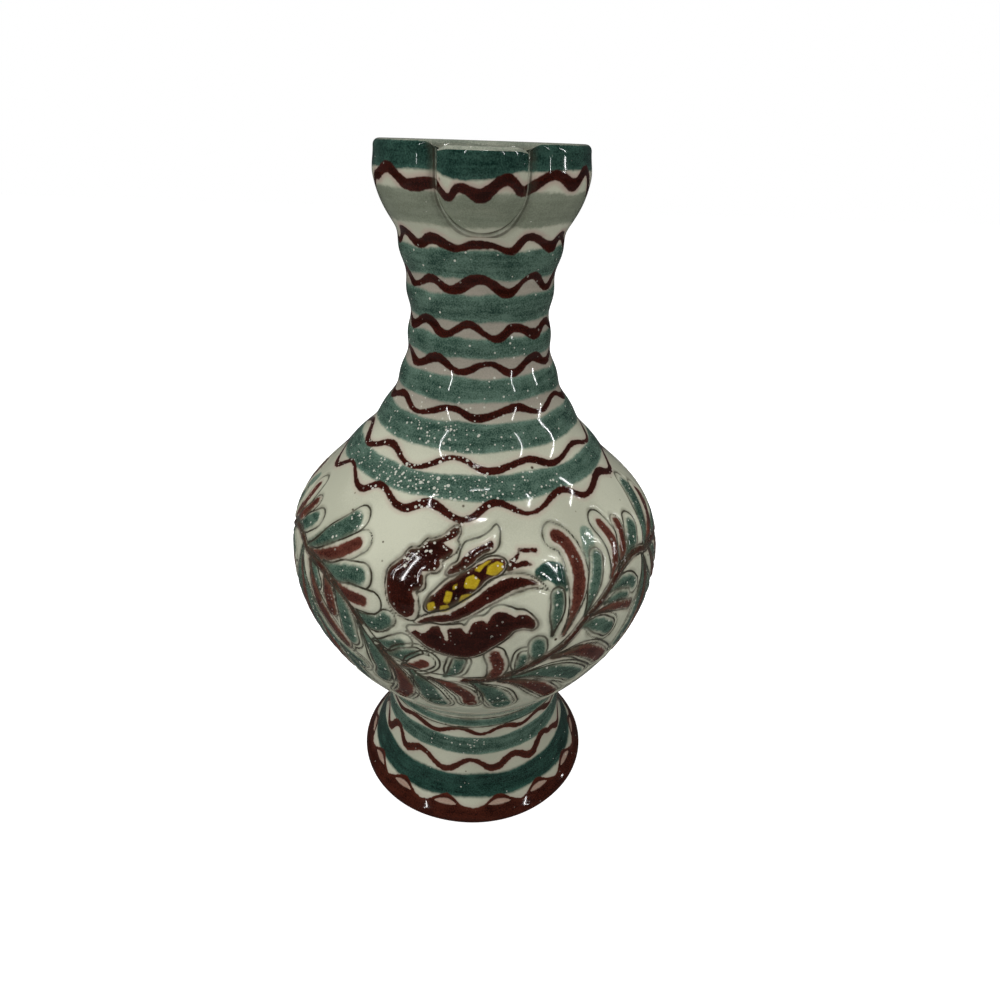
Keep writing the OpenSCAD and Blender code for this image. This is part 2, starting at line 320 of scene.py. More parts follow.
def lay_out(piece, outline, outer, strips=1):
    """Spreads a wall flat for its texture: the outer face in strips, the rest in a band on top."""
    mesh = piece.data
    flat = np.zeros(len(mesh.loops) * 2, np.float32)
    mesh.uv_layers["OFBake"].data.foreach_get("uv", flat)
    flat = flat.reshape(-1, 2).astype(float)
    sides = np.zeros(len(mesh.polygons), np.int32)
    mesh.polygons.foreach_get("loop_total", sides)
    face = np.repeat(np.arange(len(sides)), sides)
    centre = np.stack([np.bincount(face, flat[:, i]) / sides for i in (0, 1)], -1)[face]
    run = lengths(outline)
    s = np.interp(flat[:, 1] * (len(outline) - 1), np.arange(len(outline)), run)
    middle = np.interp(centre[:, 1] * (len(outline) - 1), np.arange(len(outline)), run)
    share, edge = 0.86, 0.004
    strip = np.minimum(np.floor(centre[:, 0] * strips), strips - 1)
    across = flat[:, 0] * strips - strip
    up = np.clip(s / outer, 0, 1)
    outside = middle < outer
    u = np.where(outside, edge + across * (1 - 2 * edge), edge + flat[:, 0] * (1 - 2 * edge))
    v_out = (strip + edge + up * (1 - 2 * edge)) * share / strips
    v_in = share + edge + (1 - share - 2 * edge) * np.clip((s - outer) / (run[-1] - outer), 0, 1)
    done = np.stack([u, np.where(outside, v_out, v_in)], -1)
    mesh.uv_layers["OFBake"].data.foreach_set("uv", done.ravel().astype(np.float32))


def stand(piece, node):
    """The piece takes the place of its solid and moves with it."""
    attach(piece, "root")
    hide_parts(node)


def colour(red, green, blue):
    """A colour as a chart gives it, from 0 to 255."""
    parts = (c / 255 for c in (red, green, blue))
    return tuple(c / 12.92 if c < 0.04045 else ((c + 0.055) / 1.055)**2.4 for c in parts) + (1.0,)


slip_white, slip_grey, slip_pink = colour(194, 195, 175), colour(174, 175, 156), colour(178, 162, 148)
pinhole, bubble = colour(66, 54, 42), colour(208, 207, 194)
# The second pair: the dark of a scratched line, and the painted shade beside it.
scratch, groove_shade_colour = colour(50, 46, 36), colour(98, 95, 78)
thin_green, deep_green = colour(112, 138, 122), colour(28, 54, 45)
thin_brown, deep_brown = colour(66, 25, 17), colour(18, 4, 2)
thin_dark, deep_dark = colour(58, 94, 82), colour(6, 28, 23)


def fresh(holder):
    """The emptied node tree of a material or a world."""
    holder.use_nodes = True
    holder.node_tree.nodes.clear()
    return Bench(holder.node_tree)


def glaze(name, paints, scratched=(), lines=1.0, specks=0.36):
    """White slip, the paints laid on it, the scratched lines with painted shade beside them, and a clear
    glaze over all of it.

    A paint is the field of its shapes, its thin and its thick colour, how soft its edge is, how
    ragged, both in millimetres, and how much it tints the slip beside it. The scales of clouds
    and spots are cells to the metre."""
    finish = bpy.data.materials.new(name)
    bench = fresh(finish)
    place = bench.add("ShaderNodeTexCoord", out="Object")
    stretched = bench.add("ShaderNodeMapping", None, {"Vector": place, "Scale": (0.12, 0.12, 1.0)})

    def cloud(scale, detail=2.0, where=place):
        return bench.add("ShaderNodeTexNoise", None,
                         {"Vector": where, "Scale": scale, "Detail": detail})

    def field(label):
        return bench.add("ShaderNodeAttribute", {"attribute_name": label}, out="Fac")

    def spots(scale, often, size):
        """Round spots: how many of the cells of that scale have one, and its size in the cell."""
        cells = bench.add("ShaderNodeTexVoronoi", None, {"Vector": place, "Scale": scale})
        chance = bench.add("ShaderNodeSeparateColor", None, {0: cells.also("Color")})
        radius = (chance.also("Green") * 0.6 + 0.4) * size
        return (1 - (cells - radius).rise(-0.03, 0.05)) * (often - chance).rise(0.0, 0.02)

    drift = cloud(26.0)
    pooling = cloud(150.0, 3.0)
    grain = cloud(1900.0, 1.0)
    turning = cloud(700.0, 2.0, stretched)
    ragged = cloud(620.0, 1.0) - 0.5 + (cloud(190.0, 1.0) - 0.5) * 0.8
    tone = (drift * 0.8 + grain * 0.2).rise(0.36, 0.64).blend(slip_white, slip_grey)
    tone = spots(150.0, 0.6, 0.085).blend(tone, pinhole)
    covered = drift * 0
    specked = drift * 0
    body = (pooling * 0.3 + turning * 0.28 + grain * 0.42).rise(0.34, 0.66)
    for label, thin, thick, soft, rough, tint in paints:
        edge = field(label) + ragged * rough
        mask = 1 - edge.rise(-soft, soft)
        deep = body * 0.62 + (edge * -1).rise(-soft, 2.6) * 0.38
        if tint:
            tone = ((1 - edge.rise(0.0, 2.2)) * (1 - covered) * tint).blend(tone, slip_pink)
        tone = mask.blend(tone, deep.blend(thin, thick))
        covered = covered.math("MAXIMUM", mask)
        specked = specked * (1 - mask) + mask * (0.3 if tint else 1.0)
    bubbly = field("bubbly")
    speck = spots(560.0, specks, 0.2 + 0.3 * specks) * specked
    froth = spots(480.0, bubbly, 0.16 + bubbly * 0.26).math("MAXIMUM", spots(680.0, bubbly, 0.3))
    burst = speck.math("MAXIMUM", froth * covered)
    tone = (burst * 0.8).blend(tone, bubble)
    groove = drift * 0
    groove_shade = drift * 0
    for label in scratched:
        away = abs(field(label) + ragged * 0.3)
        groove = groove.math("MAXIMUM", 1 - away.rise(0.18, 0.62))
        groove_shade = groove_shade.math("MAXIMUM", 1 - away.rise(0.2, 2.3))
    # Painted shade: a grey halo about 2 mm wide beside each scratched line and crease, broken up by a
    # cloud.
    tone = (groove_shade * (pooling * 0.9).rise(0.2, 0.7) * 0.6 * lines).blend(tone, groove_shade_colour)
    tone = (groove * (cloud(110.0).rise(0.3, 0.62) * 0.5 + 0.48) * lines).blend(tone, scratch)
    skin = cloud(52.0) * 0.2 + covered * 0.05 - groove * 0.22 - burst * 0.08
    bump = bench.add("ShaderNodeBump", None, {"Strength": 0.7, "Distance": MM, "Height": skin})
    shiny = 0.04 + cloud(140.0) * 0.06
    surface = bench.add("ShaderNodeBsdfPrincipled", None,
                        {"Base Color": tone, "Roughness": shiny, "Normal": bump})
    bench.add("ShaderNodeOutputMaterial", None, {"Surface": surface})
    return finish


def band(s, low, high, angle, seed):
    """Distance to a band brushed round the pot while it turned, negative inside."""
    swing = 0.35 * np.sin(3 * angle + seed) + 0.25 * np.sin(8 * angle + 2.3 * seed)
    sway = 0.3 * np.sin(5 * angle + 1.7 * seed) + 0.25 * np.sin(11 * angle + 0.7 * seed)
    return np.maximum(low + swing - s, s - high - sway)


def wave(s, r, angle, knots, half):
    """Distance to a wavy line of that half width. In front it turns at knots, given as degrees
    round and millimetres up, and it goes on evenly round the back."""
    turns, ups = np.array(knots, float).T
    middle, swing = ups.mean(), 1.2 * ups.std()
    gap = 360 + turns[0] - turns[-1]
    more = int(round(gap / np.diff(turns).mean())) - 1
    more += (more + ((ups[0] > middle) == (ups[-1] > middle))) % 2
    way = -1.0 if ups[-1] > middle else 1.0
    turns = np.concatenate([turns, turns[-1] + gap * np.arange(1, more + 2) / (more + 1)])
    ups = np.concatenate([ups, middle + way * swing * (-1.0)**np.arange(more), ups[:1]])

    def path(a):
        degrees = (np.degrees(a) - turns[0]) % 360 + turns[0]
        k = np.clip(np.searchsorted(turns, degrees, side="right") - 1, 0, len(turns) - 2)
        share = (degrees - turns[k]) / (turns[k + 1] - turns[k])
        return ups[k] + (ups[k + 1] - ups[k]) * (1 - np.cos(np.pi * share)) / 2

    slope = (path(angle + 0.01) - path(angle - 0.01)) / (0.02 * r)
    press = half * (1 + 0.2 * np.sin(4 * angle + middle) + 0.15 * np.sin(13 * angle + 2 * middle))
    return np.abs(s - path(angle)) / np.hypot(1, slope) - press


edge_arc = arc(foot_r - edge_r, edge_r, edge_r, -90, 0)
roll_arc = arc(foot_r - roll_r, edge_r, roll_r, 0, 50)
roll_run = np.array([-math.sin(math.radians(50)), math.cos(math.radians(50))])
flare = curve(roll_arc[-1], roll_arc[-1] + 0.15 * waist_z * roll_run,
              (waist_r, waist_z - 0.5 * (waist_z - roll_arc[-1][1])), (waist_r, waist_z))
seat_rise = foot_h - waist_z
spread = curve((waist_r, waist_z), (waist_r, waist_z + 0.4 * seat_rise),
               (seat_r - 0.4, foot_h - 0.4 * seat_rise), (seat_r, foot_h))
foot_outer = even(np.vstack([edge_arc, roll_arc[1:], flare[1:], spread[1:]]), 0.62)
foot_hollow = inset(np.vstack([flare[12:], spread[1:]]), foot_wall)[::-1]
foot_hollow = foot_hollow[foot_hollow[:, 1] < foot_h - 1]
foot_inner = np.vstack([[foot_hollow[0][0], foot_h], foot_hollow, [foot_r - ring_w, 1.0],
                        [foot_r - ring_w + 1.0, 0.0], foot_outer[:1]])
foot_outline = np.vstack([foot_outer, even(foot_inner, 2.0)[1:]])
foot_run = lengths(foot_outer)


def foot_at(z):
    """How far up the foot's outline a height is."""
    return np.interp(z, foot_outer[:, 1], foot_run)


foot_glaze = glaze("foot glaze",
                   (("green", thin_green, deep_green, 0.6, 0.7, 0),
                    ("dark_green", thin_dark, deep_dark, 0.9, 0.7, 0),
                    ("brown", colour(86, 40, 27), colour(36, 10, 5), 0.35, 0.9, 0.5),
                    ("pink", colour(180, 158, 142), colour(146, 116, 100), 0.5, 0.5, 0)),
                   ("joint",), specks=0.08)
foot, co, angle, s = turn("turned_foot", foot_outline, foot_glaze, 420)
lay_out(foot, foot_outline, foot_run[-1], strips=2)
outside = np.where(s <= foot_run[-1] + 0.01, 0.0, FAR)
r = np.hypot(co[:, 0], co[:, 1])
scallops = np.array([-63, -40, -14, 14.5, 38, 63, 89, 115, 141, 167, 193, 219, 245, 271])
beside = (np.degrees(angle)[:, None] - scallops + 180) % 360 - 180
beside = np.radians(np.take_along_axis(beside, np.abs(beside).argmin(1)[:, None], 1)[:, 0]) * foot_r
edge_top = foot_at(7.4)
hump_h, hump_w, oval_h, oval_w = 5.5, 7.2, 1.2, 6.2
hump = s - edge_top - hump_h * np.exp(-(beside / hump_w)**2) + 0.7
dished = s - edge_top - oval_h + 0.02 * beside**2
dished /= oval_h * np.maximum(1 - (beside / oval_w)**2, 0.02)
oval = (np.abs(dished) - 1) * oval_h
foot_low_wave = ((-57, 30), (-46, 23.8), (-34, 27.5), (-17, 22), (-1, 27.6), (13, 23), (26, 27.3),
                 (38, 23.2), (51, 29), (59, 26.5))
foot_high_wave = ((-40, 44.5), (-25, 41.8), (-8, 46), (5, 42.3), (19, 45.7), (32, 42.8))
joint = np.minimum(np.abs(s - foot_at(53.0)), np.abs(s - foot_at(47.0) - 0.5 * np.sin(4 * angle)))
spread_out = np.hypot(np.degrees(angle) / 42, (co[:, 2] - 36) / 7)
paint(foot, bubbly=np.clip(0.6 - 0.6 * spread_out, 0, 1),
      dark_green=band(s, foot_at(10.2), foot_at(20.5), angle, 1.0) + outside,
      green=np.minimum(band(s, foot_at(30.4), foot_at(40.0), angle, 2.0),
                       band(s, foot_at(47.6), foot_at(52.6), angle, 3.0)) + outside,
      brown=np.minimum.reduce([hump,
                               wave(s, r, angle, [(a, foot_at(z)) for a, z in foot_low_wave], 1.6),
                               wave(s, r, angle, [(a, foot_at(z)) for a, z in foot_high_wave], 1.4)])
      + outside,
      pink=oval + outside,
      joint=joint + outside)
stand(foot, "foot")

# Belly. A round bulb with its own floor, thrown in red earthenware and dipped in white slip.
# A garland of leaves and a tulip are scratched through the slip, filled with green and brown
# by brush, and glazed. It sits on the foot, and the neck stands on its shoulder.

belly_r, belly_z, shoulder_r, shoulder_z = 79.0, 122.0, 57.0, 162.0
belly_wall, floor_t, belly_rise = 5.0, 7.0, 68.0
lower_hold, base_lean, lower_fullness = 0.18, 0.92, 0.44
upper_hold, shoulder_hold = 24.0, 16.0
slope_cos = math.cos(math.radians(45))
belly_low = curve((seat_r, foot_h),
                  (seat_r + lower_hold * belly_rise * base_lean, foot_h + lower_hold * belly_rise),
                  (belly_r, belly_z - lower_fullness * belly_rise), (belly_r, belly_z))
belly_high = curve((belly_r, belly_z), (belly_r, belly_z + upper_hold),
                   (shoulder_r + shoulder_hold * slope_cos, shoulder_z - shoulder_hold * slope_cos),
                   (shoulder_r, shoulder_z))
belly_face = np.vstack([belly_low, belly_high[1:]])
belly_under = even(np.array([(0.0, foot_h), (seat_r, foot_h)]), 4.0)
belly_outer = even(belly_face, 0.8)
belly_hollow = inset(belly_face, belly_wall)[::-1]
belly_hollow = belly_hollow[belly_hollow[:, 1] > foot_h + floor_t]
belly_inner = even(np.vstack([[(shoulder_r - belly_wall / slope_cos, shoulder_z)], belly_hollow,
                              [(0.0, foot_h + floor_t)]]), 6.5)
belly_outline = np.vstack([belly_outer, belly_inner, belly_under])
belly_run = lengths(belly_outer)
widest = np.interp(belly_z, belly_outer[:, 1], belly_run)
repeat = 165.5


def smooth_path(points, n, closed=False):
    """A flowing line through a few points."""
    p = np.array(points, float)
    ends = (np.vstack([p[-1], p, p[:2]]) if closed
            else np.vstack([2 * p[0] - p[1], p, 2 * p[-1] - p[-2]]))
    t = np.linspace(0, 1, n, endpoint=False)[:, None]
    parts = [0.5 * (2 * b + (c - a) * t + (2 * a - 5 * b + 4 * c - d) * t**2
                    + (3 * b - a - 3 * c + d) * t**3)
             for a, b, c, d in zip(ends, ends[1:], ends[2:], ends[3:])]
    return np.vstack(parts if closed else parts + [p[-1:]])


def near(points, reach):
    """The spots close to some points, once for each repeat round the belly, as flat places."""
    low, high = np.min(points, axis=0) - reach, np.max(points, axis=0) + reach
    for k in (-1, 0, 1):
        u = (flat_u - k * repeat + 1.5 * repeat) % (3 * repeat) - 1.5 * repeat
        spots = np.flatnonzero((u > low[0]) & (u < high[0]) & (flat_v > low[1]) & (flat_v < high[1]))
        yield spots, u[spots], flat_v[spots]


def stroke(u, v, spine, width, end=1.0, root=0.18, full=0.65):
    """Distance to a brush stroke that swells from its root to its round tip, negative inside."""
    path = even(smooth_path(spine, 16), 0.9)
    t = np.linspace(0, 1, len(path)) / end
    path, t = path[t <= 1], t[t <= 1]
    k = np.clip(t / full, 0, 1)
    half = width * (root + (1 - root) * k * k * (3 - 2 * k))
    distance = np.full(u.shape, FAR)
    for (a, b), w in zip(path, half):
        distance = np.minimum(distance, np.hypot(u - a, v - b) - w)
    return distance


def patch(u, v, outline, n=5):
    """Distance to a closed shape, negative inside."""
    p = smooth_path(outline, n, closed=True)
    distance = np.full(u.shape, 1e3)
    inside = np.zeros(u.shape, bool)
    for (ax, ay), (bx, by) in zip(p, np.roll(p, -1, axis=0)):
        ex, ey = bx - ax, by - ay
        t = np.clip(((u - ax) * ex + (v - ay) * ey) / (ex * ex + ey * ey + 1e-9), 0, 1)
        distance = np.minimum(distance, np.hypot(u - ax - t * ex, v - ay - t * ey))
        if ay != by:
            inside ^= ((ay > v) != (by > v)) & (u < ax + (v - ay) * ex / (by - ay))
    return np.where(inside, -distance, distance)


def lay(name, spots, distance):
    """A shape joins the others of its paint."""
    ornament[name][spots] = np.minimum(ornament[name][spots], distance)


def cover(spots, distance):
    """What lies under a later shape is hidden by it."""
    for field in ornament.values():
        field[spots] = np.maximum(field[spots], -distance)


# Each leaf: its paint, the half widths of the paint and of the scratched line round it, how
# much of its length is painted, and its spine as millimetres round and up from the widest line.
leaves = (
    ("green", 4.0, 5.5, 0.92, ((-80, 18.5), (-73, 23), (-66, 29.5), (-61, 35), (-58, 39))),
    ("brown", 2.1, 4.8, 0.97, ((-79, 17), (-70, 19.3), (-63, 22), (-57, 26), (-50.5, 31.5))),
    ("green", 3.0, 5.2, 0.97, ((-66, 17.5), (-58, 17), (-52, 18.3), (-45.5, 19.5))),
    ("brown", 1.8, 4.6, 0.85, ((-61, 14), (-54, 11.3), (-47, 11), (-39.5, 11.2))),
    ("green", 2.6, 3.6, 0.97, ((-47, 5.5), (-41, 3.6), (-36, 4), (-32.5, 7))),
    ("green", 1.8, 3.6, 0.9, ((-38, -4), (-32, -4), (-26, -1))),
    ("green", 2.2, 3.2, 0.95, ((-34, -9), (-28, -8), (-21.5, -5.8))),
    ("brown", 1.6, 3.8, 0.95, ((-27, -13.5), (-22, -12), (-18, -9))),
    ("green", 1.8, 2.7, 1.0, ((-11, -16), (-7.3, -12), (-5.5, -7))),
    ("brown", 1.9, 4.0, 1.0, ((3, -18.5), (7.5, -14), (8.7, -9), (7.3, -4))),
    ("green", 1.5, 2.4, 0.95, ((15, -14.5), (17, -10.5), (18, -5.5))),
    ("green", 2.4, 3.7, 1.0, ((23, -9), (23.3, -4), (23, -1))),
    ("green", 1.9, 3.0, 1.0, ((28.5, 2), (29.7, 8), (30.7, 13), (31, 17))),
    ("brown", 2.3, 5.2, 0.98, ((33, 1), (36.5, 8), (39.5, 16), (41.2, 24), (41, 31), (39, 36),
                               (35.5, 38.3))),
    ("green", 2.1, 3.5, 1.0, ((42.5, 6.5), (45.5, 13), (49.3, 20), (52, 26))),
    ("brown", 1.8, 5.2, 0.97, ((57, 16.5), (61, 21.5), (64, 26.5), (64, 32), (62.5, 37))),
    ("brown", 1.7, 3.4, 1.0, ((62, 17.5), (67, 22.5), (71.5, 27.5), (73.5, 33))),
    ("green", 2.7, 4.5, 0.93, ((69, 20), (74, 22.3), (79, 26), (83, 29.5))),
    ("green", 2.0, 3.6, 0.95, ((55, 11.5), (62, 12), (68, 10.5), (71, 7.5))),
    ("green", 1.6, 2.8, 0.95, ((52, 7.5), (59, 7.5), (65, 5.5))),
    ("brown", 1.3, 2.2, 1.0, ((45, 5), (53, 4.8), (61, 3), (68, 0))),
    ("green", 2.4, 4.0, 1.0, ((41, 2), (46, 1), (51, -1.5), (55, -4.5))),
    ("brown", 2.7, 4.0, 1.0, ((30, -9), (40, -9.7), (47, -13), (53, -18), (57, -22.5))),
    ("green", 3.2, 5.0, 0.97, ((15, -17), (25, -16.7), (33, -19), (40, -23), (46, -28.5))),
    ("brown", 2.9, 4.5, 1.0, ((10, -18.5), (19, -22), (27, -28), (33, -35), (38, -42))),
    ("green", 3.8, 6.0, 1.0, ((0, -19.5), (6, -26), (10, -33), (13, -41))),
    ("brown", 2.4, 4.2, 1.0, ((-17, -18.5), (-9, -22.5), (-3, -29), (-1.5, -37.5))),
    ("green", 4.0, 6.0, 1.0, ((-24, -16), (-21.5, -22), (-19, -30), (-16.5, -39))),
    ("brown", 2.8, 4.2, 1.0, ((-36, -7), (-31.5, -16), (-29, -25), (-30.5, -34), (-36, -43))),
    ("green", 2.8, 3.6, 1.0, ((-45, 1), (-40.5, -7), (-38, -15), (-37.5, -22), (-40, -28))),
    ("green", 2.8, 4.2, 1.0, ((-57.5, 12), (-54, 6), (-51, 0), (-50, -8))),
    ("brown", 2.5, 3.6, 1.0, ((-64.5, 14), (-62, 9), (-60, 4), (-59, 1))),
    ("green", 2.9, 3.8, 1.0, ((-75, 15), (-72, 11), (-69.5, 8))),
    ("brown", 2.6, 4.0, 1.0, ((-76, 14), (-72, 6), (-66, -2), (-60, -8), (-55, -13))),
    ("green", 2.6, 4.2, 1.0, ((-84, 14), (-80, 4), (-72, -8), (-62, -17), (-50, -23))),
    ("green", 3.0, 4.6, 1.0, ((81, 15), (79, 4), (75, -8), (68, -19))),
    ("brown", 2.8, 4.2, 1.0, ((82, 10), (83, -3), (81, -16), (76, -29))),
    ("green", 3.2, 4.8, 1.0, ((85, 2), (89, -11), (90, -24), (87, -37))),
    ("brown", 2.6, 4.0, 1.0, ((-71, -10), (-68, -20), (-68, -31), (-71, -41))),
    ("green", 2.8, 4.2, 1.0, ((-60, -19), (-56, -28), (-55, -38))),
)
green_dabs = (("dark_green", 4.0, ((25.5, 25.8), (28.5, 26.4), (32, 24.8), (34.5, 21.5))),
              ("pale_green", 3.4, ((47.5, 24), (50, 30), (52, 35))))
brown_dabs = ((1.2, ((11, -15.2), (16, -14.2))), (1.0, ((18, 35.3), (25, 34.2))))
stem = ((-85.5, 18.5), (-80, 16.7), (-73, 16), (-66, 15), (-60, 13), (-54, 10.5), (-49, 7),
        (-44, 1.5), (-39, -4), (-33, -9.5), (-27, -13.5), (-20, -16.3), (-12, -17), (-4, -17.8),
        (3, -17.5), (9, -16.5), (15, -14.5), (21, -11), (27, -8), (33, -4.5), (38, 0), (43, 5),
        (48, 8), (54, 12), (60, 16), (66, 18.5), (73, 19.5), (80, 18.5))
# The tulip, from the back to the front: each shape's painted area and the line round it.
pod = ((-18, 15), (-17, 18), (-14, 21), (-10.5, 24.5), (-6, 27.5), (-2, 29.5), (2, 31.5), (6, 33),
       (10, 33), (12, 31.5), (11, 29), (9, 27.3), (5, 26), (2, 23.5), (-1, 21), (-5, 18), (-9, 15),
       (-13, 13), (-16, 13.3))
pod_line = ((-18.5, 14.5), (-17.2, 18.5), (-15, 21.5), (-11, 25.5), (-6, 28.7), (-2, 30.6), (2, 32.6),
            (6, 34), (10, 33.6), (12.6, 31.6), (11.5, 28.6), (9.2, 26.7), (5.3, 25.4), (2.3, 22.9),
            (-0.7, 20.4), (-4.8, 17.4), (-8.9, 14.4), (-13, 12.4), (-16.3, 12.6))
left_petal = ((-8, 44), (-9.5, 44.3), (-12, 43), (-14.5, 40.5), (-17, 39.5), (-19, 38.7), (-21, 38.6),
              (-22.6, 37), (-24, 35), (-27, 34.5), (-28.5, 33), (-29.5, 30.5), (-31.5, 28.5),
              (-33.8, 26), (-34.2, 23), (-33.5, 19), (-32.3, 15), (-30.5, 12.5), (-28, 10.5),
              (-25, 9.7), (-23, 10.5), (-21.8, 11.7), (-21.7, 14), (-22, 17), (-23.3, 19.5),
              (-20.5, 20.5), (-19.5, 23), (-20, 25.5), (-20.8, 26.5), (-19, 27.3), (-15.5, 28),
              (-14, 30), (-14.5, 31.8), (-12, 32.3), (-10, 34), (-9.5, 36), (-12, 37), (-14, 38),
              (-11, 39.5), (-8.5, 41), (-7.5, 42.5))
left_petal_line = ((-23, 8.5), (-20.8, 10), (-20, 14), (-21, 18.3), (-21.8, 19.6), (-19.8, 20.3),
                   (-18.4, 22), (-18.9, 25), (-18, 26.5), (-14.6, 27.3), (-13, 29.3), (-13.4, 31.3),
                   (-11, 33), (-8.2, 35), (-7, 38), (-8, 39.5), (-7, 42), (-7.5, 44.5), (-9.5, 45),
                   (-12, 43.6), (-14.8, 41.2), (-19, 39.4), (-21.3, 39.2), (-23, 37.3), (-24.3, 35.6),
                   (-27.3, 35.1), (-29, 33.3), (-30, 31), (-32, 29), (-34.4, 26.2), (-34.8, 23),
                   (-34.1, 19), (-32.9, 14.8), (-31, 12), (-28.3, 9.9), (-25.2, 9))
top_petal = ((-11, 27.5), (-9.5, 30), (-7, 31.5), (-5, 33.5), (-3, 35.5), (0, 36.8), (3, 38),
             (6, 39.3), (7.5, 38.5), (7, 36.5), (4, 35), (1, 33.5), (-1, 31.5), (-4, 29.5), (-7, 28),
             (-9.5, 27))
top_petal_line = ((-2, 40), (2, 41), (6, 43), (8.5, 45), (10, 45.2), (11, 43), (10.5, 39.5), (9.5, 37),
                  (7, 35), (4, 34.4), (1.2, 32.8), (-0.8, 30.9), (-4, 28.9), (-7, 27.4), (-9.6, 26.4),
                  (-11.6, 27.4), (-10.2, 30.3), (-7.5, 32.2), (-6.5, 36), (-5, 38.8))
long_petal = ((-20, 9.5), (-15, 12), (-10, 13.3), (-5, 16.3), (0, 19.5), (5, 23.2), (10, 25.5),
              (15, 26), (20, 25), (24, 22.6), (22, 22.2), (18, 22.2), (13, 21.2), (8, 19), (4, 17),
              (0, 14.5), (-5, 11.7), (-10, 10.2), (-15, 9.2), (-20, 8.2))
long_petal_line = ((-21, 9.8), (-15, 13.2), (-10, 14.7), (-5, 17.8), (0, 21), (5, 24.8), (10, 27),
                   (15, 27.4), (20, 26.4), (24.5, 23.4), (28, 19.4), (25, 20.6), (22, 21.2), (18, 21),
                   (13, 19.8), (8, 17.8), (4, 15.9), (0, 13.4), (-5, 10.8), (-10, 9.3), (-15, 8.3),
                   (-21, 7.6))
low_petal = ((-22.5, 4.5), (-21, 5.5), (-19, 4.5), (-17, 5.5), (-15.5, 7.5), (-13, 8.3), (-12, 7),
             (-10.5, 3.5), (-9.5, 3), (-9.5, 7), (-8, 8), (-5, 8.3), (-3.5, 6.5), (-2.6, 6),
             (-1.8, 8.5), (0, 10.7), (3, 11.2), (4.2, 10), (5.5, 12.5), (7, 14), (10, 14.3),
             (12, 13.3), (14, 12), (16, 12.8), (19, 12), (21, 10), (21.8, 8), (21, 6.3), (19, 6.5),
             (17, 7), (14, 6.5), (12, 4.5), (9, 2), (6, 0), (3, -2.5), (0, -4), (-4, -4.8), (-9, -4),
             (-13, -2.8), (-17, -1), (-20, 1.5), (-22.5, 3.5))
low_petal_line = ((-24, 6.5), (-20, 7.5), (-16, 9), (-11, 8.9), (-5, 9.8), (-3.5, 9.2), (-2, 11.5),
                  (0, 12.7), (3.5, 13.3), (6, 15.8), (9, 16.7), (12, 16), (15, 14.7), (18, 14),
                  (20.5, 12), (22.5, 9), (22.8, 7), (21.3, 5.6), (19, 5.9), (17, 6.4), (14.2, 5.9),
                  (12.3, 4), (9.3, 1.5), (6.3, -0.6), (3.2, -3.1), (0, -4.6), (-4, -5.4), (-9.2, -4.6),
                  (-13.2, -3.4), (-17.3, -1.6), (-20.4, 1), (-23.2, 3.3), (-24.5, 5))
beak = ((11.5, 29), (13, 32), (16, 33.5), (18, 34.5), (17.5, 32.5), (16, 31), (20, 31.5), (21.5, 30.5),
        (22.5, 29.5), (20, 29), (16, 29), (13.5, 28))
tulip = ((pod, pod_line, "line_a"), (left_petal, left_petal_line, "line_b"),
         (top_petal, top_petal_line, "line_c"), (long_petal, long_petal_line, "line_b"),
         (low_petal, low_petal_line, "line_c"))
seeds = (((-17.2, 16.4), (-14.7, 17.1), (-14, 14.7), (-16.7, 13.2)),
         ((-12.4, 15.9), (-9.7, 16.5), (-8.9, 14.4), (-12.5, 13.4)),
         ((-10.7, 21.4), (-8.3, 21), (-8.9, 17.5), (-11.3, 17.6)),
         ((-5.1, 20.3), (-1.3, 21), (-0.7, 20.3), (-4.5, 17.4), (-6.1, 17.2)),
         ((-3.6, 26.2), (-1, 27.4), (1.6, 25.4), (0.1, 22.4), (-4.3, 22.7)),
         ((4.5, 30.1), (8.3, 31.8), (10.9, 31), (10.5, 28.8), (7.2, 26.8), (4.1, 27.7)),
         ((-8.1, 23.4), (-6.7, 24.3), (-7, 22.4), (-8.4, 22.1)),
         ((-0.7, 29), (3.7, 31.9), (6.9, 32.6), (3.7, 30.6), (1.3, 28.4)))
# Where bubbles have burst in the glaze: millimetres round and up, and how far they reach.
bubbly_places = ((-29, 32, 8), (-22, 37, 8), (-14, 40, 8), (-8, 43, 6), (-13, 29, 6), (-4, 33, 8),
                 (4, 37, 6), (14, 31, 6), (-60, 50, 18), (-20, 48, 12))

scratched = ("line_a", "line_b", "line_c")
belly_glaze = glaze("belly glaze",
                    (("pale_green", colour(146, 158, 140), colour(84, 110, 96), 1.2, 1.2, 0),
                     ("dark_green", thin_dark, deep_dark, 0.9, 1.2, 0),
                     ("green", colour(100, 123, 107), colour(18, 45, 37), 1.0, 1.3, 0),
                     ("leaf_brown", colour(106, 60, 48), colour(48, 17, 12), 0.5, 1.1, 0.5),
                     ("brown", colour(68, 27, 19), colour(20, 4, 2), 0.3, 0.9, 0.6),
                     ("yellow", colour(184, 160, 40), colour(140, 114, 16), 0.35, 0.5, 0)),
                    scratched)
belly, co, angle, s = turn("turned_belly", belly_outline, belly_glaze, 500, crowding=-0.25)
lay_out(belly, belly_outline, belly_run[-1], strips=2)
inner = np.where(s <= belly_run[-1] + 0.01, 0.0, FAR)
flat_u, flat_v = angle * belly_r, np.where(inner > 0, 500.0, s - widest)
ornament = {name: np.full(len(s), FAR)
            for name in ("pale_green", "dark_green", "green", "leaf_brown", "yellow", "brown") + scratched}
low_leaf, second_line = -4.0, 1.7
for name, width, spine in green_dabs:
    for spots, u, v in near(spine, width + 3):
        lay(name, spots, 2 * stroke(u, v, spine, width, root=0.7))
